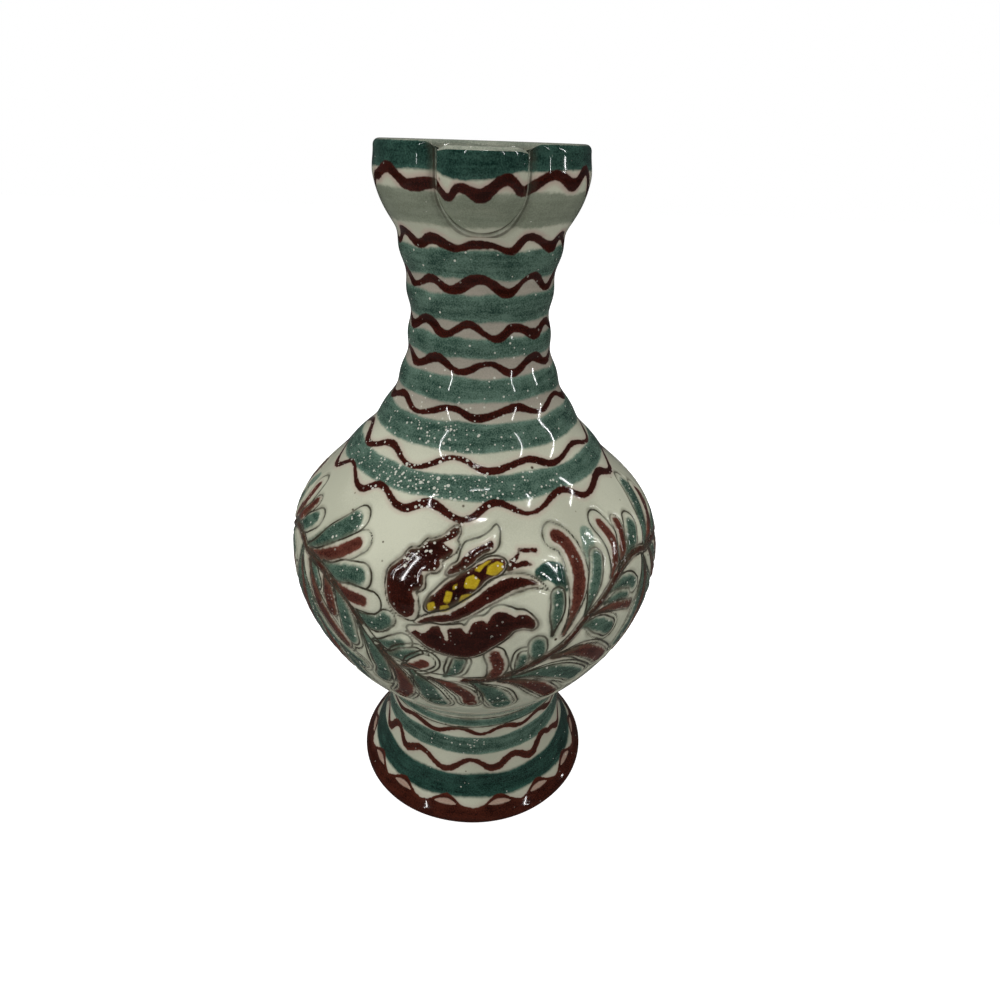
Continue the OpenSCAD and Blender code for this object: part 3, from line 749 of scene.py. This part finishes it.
for i, (name, width, line, end, spine) in enumerate(leaves):
    for spots, u, v in near(spine, line + 4):
        round_it = stroke(u, v, spine, line)
        cover(spots, round_it)
        lay(scratched[i % 3], spots, round_it)
        filled = stroke(u, v, spine, 0.25 + 1.12 * width, end, root=0.4, full=0.5)
        lay("leaf_brown" if name == "brown" else name, spots, filled)
        if spine[-1][1] < low_leaf:
            lay(scratched[(i + 1) % 3], spots, stroke(u, v, spine, line + second_line))
for area, line, group in tulip:
    for spots, u, v in near(line, 4):
        round_it = patch(u, v, line)
        cover(spots, round_it)
        lay(group, spots, round_it)
        lay("brown", spots, patch(u, v, area))
for spots, u, v in near(beak, 4):
    lay("brown", spots, patch(u, v, beak))
for width, spine in brown_dabs:
    for spots, u, v in near(spine, width + 3):
        lay("brown", spots, stroke(u, v, spine, width, root=0.7))
for cell in seeds:
    for spots, u, v in near(cell, 4):
        lay("yellow", spots, patch(u, v, cell, 1))
for spots, u, v in near(stem, 4):
    lay("line_a", spots, stroke(u, v, stem, 1.7, root=1.0))
    for part in (stem[:8], stem[13:]):
        lay("brown", spots, stroke(u, v, part, 1.25, root=1.0))
r = np.hypot(co[:, 0], co[:, 1])
shoulder_wave = ((-65, 7), (-50, 1.4), (-41, 5.9), (-28, 0.5), (-18, 4.2), (-5, -0.8), (7, 5.4),
                 (20, 0.2), (36, 5.9), (48, 0.4), (63, 4.4))
ornament["brown"] = np.minimum(ornament["brown"],
                               wave(s - belly_run[-1], r, angle, shoulder_wave, 1.35) + inner)
low_lines = np.minimum(np.abs(s - 0.9), np.abs(s - 7 - 1.5 * np.sin(5 * angle) - np.sin(9 * angle)))
ornament["line_b"] = np.minimum(np.abs(ornament["line_b"]), low_lines + inner)
bubbly = np.zeros(len(s))
for centre_u, centre_v, reach in bubbly_places:
    for spots, u, v in near(np.array([(centre_u, centre_v)]), reach):
        away = np.hypot(u - centre_u, v - centre_v) / reach
        bubbly[spots] = np.maximum(bubbly[spots], np.clip(1.3 - 1.3 * away, 0, 1))
paint(belly, bubbly=bubbly, **ornament)
line = np.minimum.reduce([np.abs(ornament[name]) for name in scratched])
cut_d, cut_w, burr_h, burr_at, burr_w = 0.45, 0.9, 0.16, 1.8, 0.8
press_in(belly, cut_d * np.exp(-(line / cut_w)**2) - burr_h * np.exp(-((line - burr_at) / burr_w)**2))
stand(belly, "belly")

# Neck. A trumpet thrown in one pull, with six soft ribs left by the fingers. Green bands run
# round the ribs and brown waves run between them, on slip that the brown paint has stained pink
# beside it, and that is darker and warmer on the upper neck. It is luted to the shoulder and to
# the collar.

neck_h, neck_wall, ribs, rib_out = 90.0, 4.5, 6, 1.0
throat_z, throat_r, neck_top_r, collar_z = 222.0, 26.5, 30.4, 252.0
trumpet_hold, throat_hold, flare_hold, flare_out = 0.32 * (throat_z - shoulder_z), 30.0, 9.9, 1.3
fillet_out, fillet_reach = 0.9, 2.5
neck_low = curve((shoulder_r, shoulder_z),
                 (shoulder_r - trumpet_hold * slope_cos, shoulder_z + trumpet_hold * slope_cos),
                 (throat_r, throat_z - throat_hold), (throat_r, throat_z), 200)
neck_high = curve((throat_r, throat_z), (throat_r, throat_z + flare_hold),
                  (neck_top_r - flare_out, collar_z - flare_hold), (neck_top_r, collar_z), 100)
neck_plain = np.vstack([neck_low, neck_high[1:]])
rib_turn = 2 * np.pi * ribs * (neck_plain[:, 1] - shoulder_z) / neck_h
neck_face = neck_plain.copy()
neck_face[:, 0] += rib_out * (1 - np.cos(rib_turn)) / 2
neck_face[:, 0] += fillet_out * np.exp((neck_face[:, 1] - collar_z) / fillet_reach)
neck_outer = even(neck_face, 0.62)
neck_bore = inset(neck_plain, neck_wall)[::-1]
neck_bore = neck_bore[(neck_bore[:, 1] < collar_z) & (neck_bore[:, 1] > shoulder_z)]
neck_inner = even(np.vstack([(neck_top_r - neck_wall, collar_z), neck_bore,
                             (shoulder_r - neck_wall / slope_cos, shoulder_z),
                             (shoulder_r, shoulder_z)]), 3.0)
neck_outline = np.vstack([neck_outer, neck_inner])
neck_run = lengths(neck_outer)


def neck_at(z):
    """How far up the neck's outline a height is."""
    return np.interp(z, neck_outer[:, 1], neck_run)


neck_glaze = glaze("neck glaze",
                   (("stain", colour(168, 160, 146), colour(146, 140, 128), 9.0, 0.0, 0),
                    ("green", thin_green, deep_green, 0.7, 0.8, 0),
                    ("brown", thin_brown, deep_brown, 0.3, 0.6, 0.6)), specks=0.2)
neck, co, angle, s = turn("turned_neck", neck_outline, neck_glaze, 360)
lay_out(neck, neck_outline, neck_run[-1], strips=2)
outside = np.where(s <= neck_run[-1] + 0.01, 0.0, FAR)
r = np.hypot(co[:, 0], co[:, 1])
bands = ((166.5, 173.5), (180.0, 189.0), (195.5, 204.0), (210.5, 218.0), (223.0, 233.0),
         (238.0, 248.0))
waves = (((-66, 174), (-49, 177.7), (-31, 173.8), (-11, 178.2), (6, 174.6), (25, 176.8), (39, 174.2),
          (58, 176.6)),
         ((-60, 193.5), (-42, 190), (-17, 193.3), (-1, 190.5), (25, 193.4), (43, 190.6), (63, 194)),
         ((-54, 206), (-33, 209.8), (-14, 205.8), (7, 209), (25, 205.3), (45, 209.8), (64, 206.4)),
         ((-66, 219), (-45, 222.7), (-27, 218.6), (-9, 222.6), (12, 217.8), (28, 221.2), (48, 218),
          (65, 221)),
         ((-56, 234.3), (-37, 237.3), (-22, 234.3), (0, 238.3), (20, 233.6), (39, 239), (58, 234.2)))
collar_wave = ((-58, 0.2), (-43, -3.4), (-32, -1.1), (-15, -3.8), (-4, -2.3), (5, -2.4), (18, -4.4),
               (31, 0.2), (52, -3.8), (63, -0.5))
bubbly = np.clip(0.9 - 0.9 * np.hypot((np.degrees(angle) + 24) / 66, (co[:, 2] - 170) / 26), 0, 1)
# The slip is darker and warmer on the upper neck, from 188 to 244 mm high, with soft edges.
paint(neck, bubbly=bubbly, stain=np.abs(co[:, 2] - 216) - 28 + outside,
      green=np.minimum.reduce([band(s, neck_at(low), neck_at(high), angle, i + 4.0)
                               for i, (low, high) in enumerate(bands)]) + outside,
      brown=np.minimum.reduce([wave(s, r, angle, [(a, neck_at(z)) for a, z in knots], 1.25 + 0.09 * i)
                               for i, knots in enumerate(waves)]
                              + [wave(s, r, angle, shoulder_wave, 1.35),
                                 wave(s - neck_run[-1], r, angle, collar_wave, 1.5)]) + outside)
stand(neck, "neck")

# Collar. A shallow bowl for a mouth, with a rounded rim and a U-shaped notch cut in its front
# for the pouring lip. The wall is dragged in to the notch, which leaves a bead and a crease
# round it; the crease is painted dark as shade, and the bead and the rim's rounded top are
# painted pale as thin glaze and a highlight. The rim is dipped in green, and a brown wave runs
# below it over a thin pale wash.

collar_h, collar_r, collar_wall, rim_z = 28.0, 39.0, 4.5, 280.0
lip_w, lip_sill, crease_d, inner_d, press_rise = 29.0, 1.5, 3.2, 0.8, 6.0
rim_lean, lean_h, inner_fade = 1.2, 9.0, 3.0
notch_r = lip_w / 2
notch_z = collar_z + lip_sill + notch_r
rim_r = collar_wall / 2
collar_face = curve((neck_top_r, collar_z), ((neck_top_r + collar_r) / 2, collar_z + 0.18 * collar_h),
                    (collar_r, collar_z + 0.4 * collar_h), (collar_r, rim_z - rim_r), 200)
collar_back = inset(collar_face, collar_wall)
collar_back[-1] = (collar_r - collar_wall, rim_z - rim_r)
inner_step = collar_back[0, 0] - neck_top_r + neck_wall
collar_back[:, 0] -= inner_step * np.exp((collar_back[0, 1] - collar_back[:, 1]) / inner_fade)
collar_face[:, 0] += fillet_out * np.exp((collar_z - collar_face[:, 1]) / fillet_reach)
for face in (collar_face, collar_back):
    share = np.clip((face[:, 1] - rim_z + rim_r) / lean_h + 1, 0, 1)
    face[:, 0] -= rim_lean * share**2 * (3 - 2 * share)


def notch_half(z):
    """Half of the notch's width at a height."""
    half = np.sqrt(np.maximum(notch_r**2 - np.minimum(z - notch_z, 0)**2, 0))
    return np.where(z < notch_z - notch_r, 0, half)


def from_notch(co):
    """How far points of the front wall are from the notch, in millimetres."""
    aside = np.hypot(co[:, 0], np.minimum(co[:, 2] - notch_z, 0)) - notch_r
    return np.where(co[:, 1] < 0, np.maximum(aside, 0), 99.0)


sill_z = notch_z - notch_r
below = np.linspace(collar_z, sill_z, 5)[:-1]
round_part = notch_z - notch_r * np.cos(np.linspace(0, np.pi / 2, 30))
above = np.linspace(notch_z, rim_z - rim_r, 18)[1:]
collar_rows = np.concatenate([below, round_part, above])
collar_outer = np.stack([np.interp(collar_rows, collar_face[:, 1], collar_face[:, 0]), collar_rows], -1)
collar_inner = np.stack([np.interp(collar_rows, collar_back[:, 1], collar_back[:, 0]), collar_rows], -1)
rim_steps = 14
rim_arc = arc(collar_r - rim_lean - rim_r, rim_z - rim_r, rim_r, 0, 180, rim_steps)
collar_outline = np.vstack([collar_outer, rim_arc[1:-1], collar_inner[::-1], collar_outer[:1]])
collar_run = lengths(collar_outline)
collar_opening = np.arcsin(np.clip(notch_half(collar_outline[:, 1]) / collar_outline[:, 0], 0, 1))
rim_start = collar_run[len(collar_outer) - 1]
rim_end = collar_run[len(collar_outer) + rim_steps - 2]
turn_row = len(collar_outer) + rim_steps // 2 - 1
mouth_colours = (("wash", colour(142, 148, 130), colour(112, 118, 101), 0.7, 1.0, 0),
                 ("green", colour(66, 98, 86), colour(12, 38, 32), 0.6, 0.8, 0),
                 ("brown", thin_brown, deep_brown, 0.3, 0.6, 1.0),
                 ("thin_glaze", colour(168, 170, 154), colour(104, 113, 101), 0.5, 0.8, 0))
collar_glaze = glaze("collar glaze", mouth_colours, ("crease",), lines=0.8, specks=0.05)
collar, co, angle, s = turn("turned_collar", collar_outline, collar_glaze, 400, seam=0.0, crowding=0.6,
                            opening=collar_opening)
lay_out(collar, collar_outline, rim_end)
row = np.rint(read(collar, "along") * (len(collar_outline) - 1)).astype(int)
around = read(collar, "around")
r = np.hypot(co[:, 0], co[:, 1])
away = from_notch(co)
valley_w, bead_h, bead_at, fine_d, fine_at, fine_w, inner_w = 4.6, 0.6, 0.95, 0.35, 2.5, 0.5, 2.4
dragged = crease_d * np.exp(-(away / valley_w)**2) - bead_h * np.exp(-((away - bead_at) / fine_w)**2)
dragged += fine_d * np.exp(-((away - fine_at) / fine_w)**2)
dragged *= np.clip((co[:, 2] - collar_z) / press_rise, 0, 1)
inner_drag = inner_d * np.exp(-(away / inner_w)**2)
round_rim = np.clip((co[:, 2] - rim_z + rim_r) / rim_r, 0, 1)
inwards = np.where(row < turn_row, dragged, inner_drag) * (1 - round_rim)
moved = co.copy()
moved[:, 0] -= inwards * co[:, 0] / r
moved[:, 1] -= inwards * co[:, 1] / r
dip_d, dip_w = 1.7, 2.2
moved[:, 2] -= round_rim * dip_d * np.exp(-(away / dip_w)**2)
put(collar, moved)
# The cut faces of the notch: each row of the outer face is joined to the row behind it.
cut = bmesh.new()
cut.from_mesh(collar.data)
cut.verts.ensure_lookup_table()
first = {row[i]: cut.verts[i] for i in np.flatnonzero(around < 1e-4)}
last = {row[i]: cut.verts[i] for i in np.flatnonzero(around > 1 - 1e-4)}
at_sill = (np.abs(co[:, 0]) < 0.01) & (co[:, 1] < 0) & (np.abs(co[:, 2] - sill_z) < 0.01)
shut = {row[i]: cut.verts[i] for i in np.flatnonzero(at_sill)}
for side, ends in ((1, first), (-1, last)):
    for k in range(len(below), turn_row):
        mates = [ends.get(j) or shut.get(j) or first.get(j)
                 for j in (k, k + 1, 2 * turn_row - 1 - k, 2 * turn_row - k)]
        corners = []
        for vert in mates:
            if vert is not None and vert not in corners:
                corners.append(vert)
        if len(corners) > 2:
            cut.faces.new(corners[::side]).smooth = True
cut.to_mesh(collar.data)
cut.free()
collar.data.set_sharp_from_angle(angle=math.radians(50))
mouth_wave = ((-66, 269.2), (-53, 271.8), (-37, 267.1), (-26, 267.9), (-16.5, 264.2), (-10, 267.2),
              (-1, 265), (11, 269.8), (21, 266.4), (37, 271.2), (51, 268.2), (63, 272.3))


def mouth_paint(z, angle, r):
    """The fields of the mouth's green rim, its brown wave and its pale wash."""
    degrees = np.degrees(angle)
    half = 1.55 + 1.15 * np.exp(-((degrees - 6) / 10)**4)
    low = 271.8 - 2.3 * np.exp(-((degrees + 4) / 17)**4) + 0.5 * np.sin(angle) + 0.25 * np.sin(9 * angle)
    return dict(green=low - z, brown=wave(z, r, angle, mouth_wave, half),
                wash=band(z, 255.2, 265.8, angle, 11.0))


outside = np.where(row < turn_row, 0.0, FAR)
fields = mouth_paint(co[:, 2], angle, r)
fields["brown"] = np.minimum(fields["brown"], wave(s, r, angle, collar_wave, 1.5))
fields = {name: values + outside for name, values in fields.items()}
# Thin glaze and painted highlight: a pale line along the bead and a pale rounded rim top.
bead = np.abs(away - 0.9) - 0.05 + outside
on_rim = np.maximum(rim_start + 2.4 - s, s - rim_end - 1.0)
# Painted shade in the crease: dark lines with their grey halo at the notch's edge and just outside the
# bead.
crease = np.minimum(np.abs(away - 1.8), np.abs(away - 0.15)) + outside
paint(collar, thin_glaze=np.minimum(bead, on_rim), crease=crease, **fields)
stand(collar, "collar")

# Pouring lip. A U-shaped lobe pressed from a small sheet of clay, bowed outwards and let into
# the collar's notch, where the slip fills the crease round it. It is painted with the collar.

lip_out, lip_drop, lip_corner, valley = 4.0, 1.2, 0.5, 0.4
lip_top = rim_z - lip_drop - rim_r
lip_corner_z = lip_top - lip_corner


def lip_face(x, z, wall):
    """Where the lip's outer face or its back is in depth, for each place across and up."""
    aside = np.minimum(1, np.hypot(x, np.minimum(0, z - notch_z)) / notch_r)
    swell = lip_out * (1 - aside**2) * (z - notch_z + notch_r) / (lip_top - notch_z + notch_r)
    source = collar_face if wall == 0 else collar_back
    reach = np.interp(z, source[:, 1], source[:, 0])
    press = (inner_d if wall else crease_d) * aside**5 * np.clip((z - collar_z) / press_rise, 0, 1)
    return -np.sqrt(reach**2 - x**2) - swell + press


low_turn = np.radians(np.linspace(180, 360, 81))
corner_turn = np.radians(np.linspace(0, 90, 10))[1:]
side_rise = np.linspace(notch_z, lip_corner_z, 12)[1:]
corner_x = notch_r - lip_corner * (1 - np.cos(corner_turn))
corner_up = lip_corner_z + lip_corner * np.sin(corner_turn)
top_x = np.linspace(notch_r - lip_corner, lip_corner - notch_r, 52)[1:-1]
side_roll = valley * np.linspace(0, 1, len(side_rise))**3
top_roll = 1 - (1 - valley) * np.exp(-((notch_r - np.abs(top_x)) / 2.2)**2)
right_edge = np.concatenate([np.stack([np.full(len(side_rise), notch_r), side_rise, side_roll], -1),
                             np.stack([corner_x, corner_up, np.full(len(corner_x), valley)], -1)])
lip_edge = np.concatenate([
    np.stack([notch_r * np.cos(low_turn), notch_z + notch_r * np.sin(low_turn), low_turn * 0], -1),
    right_edge, np.stack([top_x, top_x * 0 + lip_top, top_roll], -1),
    right_edge[::-1] * np.array([-1, 1, 1])])
heart = np.array([0.0, notch_z])
shares = 1 - (1 - np.linspace(0, 1, 29)[1:])**1.4


def lip_ring(share, wall):
    """One ring of the lip's face or back, between its middle and its edge."""
    across, up = (heart + (lip_edge[:, :2] - heart) * share).T
    return np.stack([across, lip_face(across, up, wall), up], -1)


face_edge, back_edge = lip_ring(1.0, 0), lip_ring(1.0, 1)
rolled = [face_edge + (back_edge - face_edge) * (1 - math.cos(a)) / 2
          + lip_edge[:, 2:] * np.array([0.0, 0.0, rim_r * math.sin(a)])
          for a in np.linspace(0, math.pi, 13)[1:-1]]
rings = ([lip_ring(share, 0) for share in shares] + rolled
         + [lip_ring(share, 1) for share in shares[::-1]])
n = len(lip_edge)
face_heart, back_heart = ([[0.0, lip_face(0.0, notch_z, wall), notch_z]] for wall in (0, 1))
verts = np.vstack([face_heart, *rings, back_heart])
faces = [(0, 1 + k, 1 + (k + 1) % n) for k in range(n)]
for j in range(len(rings) - 1):
    a, b = 1 + j * n, 1 + (j + 1) * n
    faces += [(a + k, b + k, b + (k + 1) % n, a + (k + 1) % n) for k in range(n)]
a = 1 + (len(rings) - 1) * n
faces += [(len(verts) - 1, a + (k + 1) % n, a + k) for k in range(n)]
lip_mesh = bpy.data.meshes.new("pressed_lip")
lip_mesh.from_pydata((verts * MM).tolist(), [], faces)
lip_mesh.shade_smooth()
shell = bmesh.new()
shell.from_mesh(lip_mesh)
bmesh.ops.recalc_face_normals(shell, faces=shell.faces)
shell.to_mesh(lip_mesh)
shell.free()
lip_mesh.set_sharp_from_angle(angle=math.radians(60))
lip_mesh.materials.append(glaze("lip glaze", mouth_colours, specks=0.05))
lip = link("pressed_lip", lip_mesh)
angle = np.arctan2(verts[:, 0], -verts[:, 1])
r = np.hypot(verts[:, 0], verts[:, 1])
face_points = 1 + n * (len(shares) + len(rolled) // 2)
behind = np.where(np.arange(len(verts)) < face_points, 0.0, FAR)
fields = mouth_paint(verts[:, 2], angle, r)
fields = {name: values + behind for name, values in fields.items()}
on_roll = 1 + n * (len(shares) + 1)
last_roll = 1 + n * (len(shares) + len(rolled))
number = np.arange(len(verts))
# Thin glaze and painted highlight: the top of the lip's rolled edge is pale.
on_top = (number >= on_roll) & (number < last_roll) & (verts[:, 2] > lip_top - 1)
paint(lip, thin_glaze=np.where(on_top, -1.0, FAR), **fields)
stand(lip, "pouring_lip")

# Handle. A strap pulled from a lump of clay, luted to the neck under the collar and to the
# shoulder, with a shallow thumb groove. Slipped white, with a brown wave and green edges.

handle_w, handle_t, groove_d, root_flare = 24.0, 10.0, 1.0, 6.0
top_z, low_z = collar_z - 12.0, shoulder_z - 7.0
top_r = np.interp(top_z, neck_outer[:, 1], neck_outer[:, 0]) - 1.5
low_r = np.interp(low_z, belly_outer[:, 1], belly_outer[:, 0]) - 1.5
lift, top_hold, low_hold = math.radians(20), 41.5, 45.5
strap = curve((top_r, top_z), (top_r + top_hold * math.cos(lift), top_z + top_hold * math.sin(lift)),
              (low_r + low_hold * slope_cos, low_z + low_hold * slope_cos), (low_r, low_z), 240)
strap = even(strap, 0.7)
strap_length = lengths(strap)[-1]
share = np.linspace(0, 1, len(strap))
strap_run = np.gradient(strap, axis=0)
strap_run /= np.linalg.norm(strap_run, axis=1)[:, None]
from_end = np.minimum(share, 1 - share) * strap_length
smear = np.exp(-from_end / 2.5)
wide = 1 + root_flare / handle_w * np.abs(2 * share - 1)**4 + 0.16 * smear
thick = 1 + 0.35 * np.abs(2 * share - 1)**6 + 0.5 * smear
closed_end = np.ones(len(strap))
closed_end[[0, -1]] = 0.0


def pulled_strap():
    """A strap: its section follows a path, lying across it, and closes at both ends."""
    rule = Rule("pulled strap", [(label, "Float")
                                 for label in ("Width", "Thickness", "Squareness", "Groove")])
    given = rule.given
    turn_to = rule.around * math.tau
    sine, cosine = turn_to.math("SINE"), turn_to.math("COSINE")

    def squared(value):
        return abs(value).math("POWER", given.also("Squareness")) * value.math("SIGN")

    broad = squared(cosine)
    groove = given.also("Groove") * math.e ** (broad * broad * -6) * sine.rise(0.2, 0.6)
    across = broad * given.also("Width") * rule.carried("wide") * 0.5
    deep = squared(sine) * given.also("Thickness") * rule.carried("thick") * 0.5
    deep = deep - groove * rule.carried("closed")
    lifted = rule.add("ShaderNodeVectorMath", {"operation": "SCALE"},
                      {0: rule.carried("facing", "FLOAT_VECTOR"), "Scale": deep})
    side = rule.add("ShaderNodeCombineXYZ", None, {0: across * -1})
    here = rule.add("ShaderNodeVectorMath", {"operation": "ADD"}, {0: rule.point, 1: lifted})
    return rule.finish(rule.add("ShaderNodeVectorMath", {"operation": "ADD"}, {0: here, 1: side}))


handle_glaze = glaze("handle glaze",
                     (("green", thin_green, deep_green, 0.6, 0.9, 0),
                      ("brown", thin_brown, deep_brown, 0.3, 0.7, 0.6)))
facing = np.stack([np.zeros(len(strap)), -strap_run[:, 1], strap_run[:, 0]], -1)
handle = shape("pulled_handle", [(0.0, y * MM, z * MM) for y, z in strap], pulled_strap(),
               {"Steps Round": 160, "Width": handle_w * MM, "Thickness": handle_t * MM,
                "Squareness": 0.75, "Groove": groove_d * MM, "Glaze": handle_glaze},
               {"wide": wide * closed_end, "thick": thick * closed_end, "closed": closed_end,
                "facing": facing})
co = places(handle)
s = read(handle, "along") * strap_length
wall = np.vstack([belly_outer[belly_outer[:, 1] > belly_z], neck_outer[1:]])
root_length, root_depth = 14.0, 1.2


def way_in(co, inwards):
    """How far points go in a direction until they are inside the wall of the belly or the neck."""
    tries = np.linspace(-5, 25, 301)
    y = co[:, 1, None] + tries * inwards[0]
    z = co[:, 2, None] + tries * inwards[1]
    inside = np.hypot(co[:, 0, None], y) < np.interp(z, wall[:, 1], wall[:, 0]) - root_depth
    return tries[inside.argmax(1)]


for inwards, gap in ((-strap_run[0], s), (strap_run[-1], strap_length - s)):
    root = np.flatnonzero(gap < root_length)
    pressed = (way_in(co[root], inwards) - gap[root]) * (1 - gap[root] / root_length)**2
    co[root, 1:] += pressed[:, None] * inwards
put(handle, co)
outer_face = np.where(np.sin(read(handle, "around") * math.tau) > 0.15, 0.0, FAR)
wave_w, wave_length, wave_half, green_from = 3.4, 16.0, 1.3, 9.6
sway = s / wave_length * math.tau
steep = np.hypot(1, wave_w * math.tau / wave_length * np.sin(sway))
paint(handle,
      green=green_from - np.abs(co[:, 0]) + outer_face + 0.5 * np.sin(s * 0.6),
      brown=np.abs(co[:, 0] - wave_w * np.cos(sway)) / steep - wave_half + outer_face)
stand(handle, "handle")

# Table, light and camera. A plain white table and room, seen from close by and a little above.
# The glaze mirrors them dim, like the dark surroundings that are cut away from the photo; no piece
# is of metal or glass, which would show the white. Soft light comes from a ceiling and four fills
# that aren't mirrored, and the bright streaks come from three narrow windows and a tube.

table_mesh = bpy.data.meshes.new("table")
table_mesh.from_pydata([(-3, -3, 0), (3, -3, 0), (3, 3, 0), (-3, 3, 0)], [], [(0, 1, 2, 3)])
table = link("table", table_mesh)
top = bpy.data.materials.new("table top")
bench = fresh(top)
rays = bench.add("ShaderNodeLightPath", out="Is Camera Ray")
plain, dusk = (0.55, 0.55, 0.55, 1.0), (0.08, 0.08, 0.08, 1.0)
mirrored = rays.also("Is Glossy Ray")
matt = bench.add("ShaderNodeBsdfDiffuse", None, {"Color": mirrored.blend(plain, dusk)})
bright = bench.add("ShaderNodeEmission", None,
                   {"Color": (1.0, 1.0, 1.0, 1.0), "Strength": rays * 0.95})
lit = bench.add("ShaderNodeAddShader", None, {0: matt, 1: bright})
bench.add("ShaderNodeOutputMaterial", None, {"Surface": lit})
table_mesh.materials.append(top)

room = bpy.data.worlds.new("room")
bench = fresh(room)
rays = bench.add("ShaderNodeLightPath", out="Is Camera Ray")
soft = bench.add("ShaderNodeBackground", None, {"Color": (1.0, 0.99, 0.97, 1.0), "Strength": 0.14})
dim = bench.add("ShaderNodeBackground", None, {"Color": (0.9, 0.95, 1.0, 1.0), "Strength": 0.04})
white = bench.add("ShaderNodeBackground", None, {"Color": (1.0, 1.0, 1.0, 1.0), "Strength": 1.0})
seen = bench.add("ShaderNodeMixShader", None, {0: rays.also("Is Glossy Ray"), 1: soft, 2: dim})
mixed = bench.add("ShaderNodeMixShader", None, {0: rays, 1: seen, 2: white})
bench.add("ShaderNodeOutputWorld", None, {"Surface": mixed})
bpy.context.scene.world = room


def lamp(name, size, place, target, watts, mirrored):
    """A soft flat light that faces a point, and that the glaze may mirror."""
    light = bpy.data.lights.new(name, "AREA")
    light.shape = "RECTANGLE"
    light.size, light.size_y = size
    light.energy = watts
    holder = link(name, light)
    holder.location = place
    holder.rotation_euler = (Vector(target) - Vector(place)).to_track_quat("-Z", "Y").to_euler()
    holder.visible_glossy = mirrored


lamp("ceiling", (1.2, 1.2), (-0.2, -0.15, 1.5), (0, 0, 0.1), 15.5, False)
lamp("front fill", (0.9, 0.3), (-0.32, -0.85, 0.16), (0, 0, 0.07), 1.7, False)
lamp("left fill", (0.5, 0.3), (-0.8, -0.1, 0.17), (0, 0, 0.07), 1.0, False)
lamp("right fill", (0.5, 0.3), (0.8, -0.1, 0.17), (0, 0, 0.07), 0.8, False)
lamp("back fill", (0.9, 0.5), (-0.35, 0.85, 0.35), (0, 0, 0.12), 2.2, False)
lamp("left window", (0.011, 0.6), (-0.62, -0.68, 0.75), (0, 0, 0.2), 1.2, True)
lamp("right window", (0.011, 0.6), (0.78, -0.62, 0.7), (0, 0, 0.2), 1.2, True)
lamp("side window", (0.014, 0.5), (1.0, 0.02, 0.6), (0, 0, 0.2), 1.2, True)
lamp("overhead tube", (0.22, 0.008), (0.06, -0.51, 1.01), (0, 0, 0.17), 0.35, True)

camera_data = bpy.data.cameras.new("camera")
camera_data.sensor_width = 36.0
camera_data.lens = 25.2
camera = link("camera", camera_data)
eye = (0.0, -0.27303, 0.28115)
pitch, yaw, roll_turn = (math.radians(a) for a in (27.356, 2.118, 1.915))
ahead = Vector((math.sin(yaw) * math.cos(pitch), math.cos(yaw) * math.cos(pitch), -math.sin(pitch)))
level = Vector((math.cos(yaw), -math.sin(yaw), 0.0))
upright = level.cross(ahead)
right = math.cos(roll_turn) * level + math.sin(roll_turn) * upright
up = math.cos(roll_turn) * upright - math.sin(roll_turn) * level
axes = Matrix((right, up, -ahead)).transposed().to_4x4()
camera.matrix_world = Matrix.Translation(eye) @ axes
bpy.context.scene.camera = camera
bpy.context.scene.view_settings.view_transform = "Standard"

bpy.context.view_layer.update()
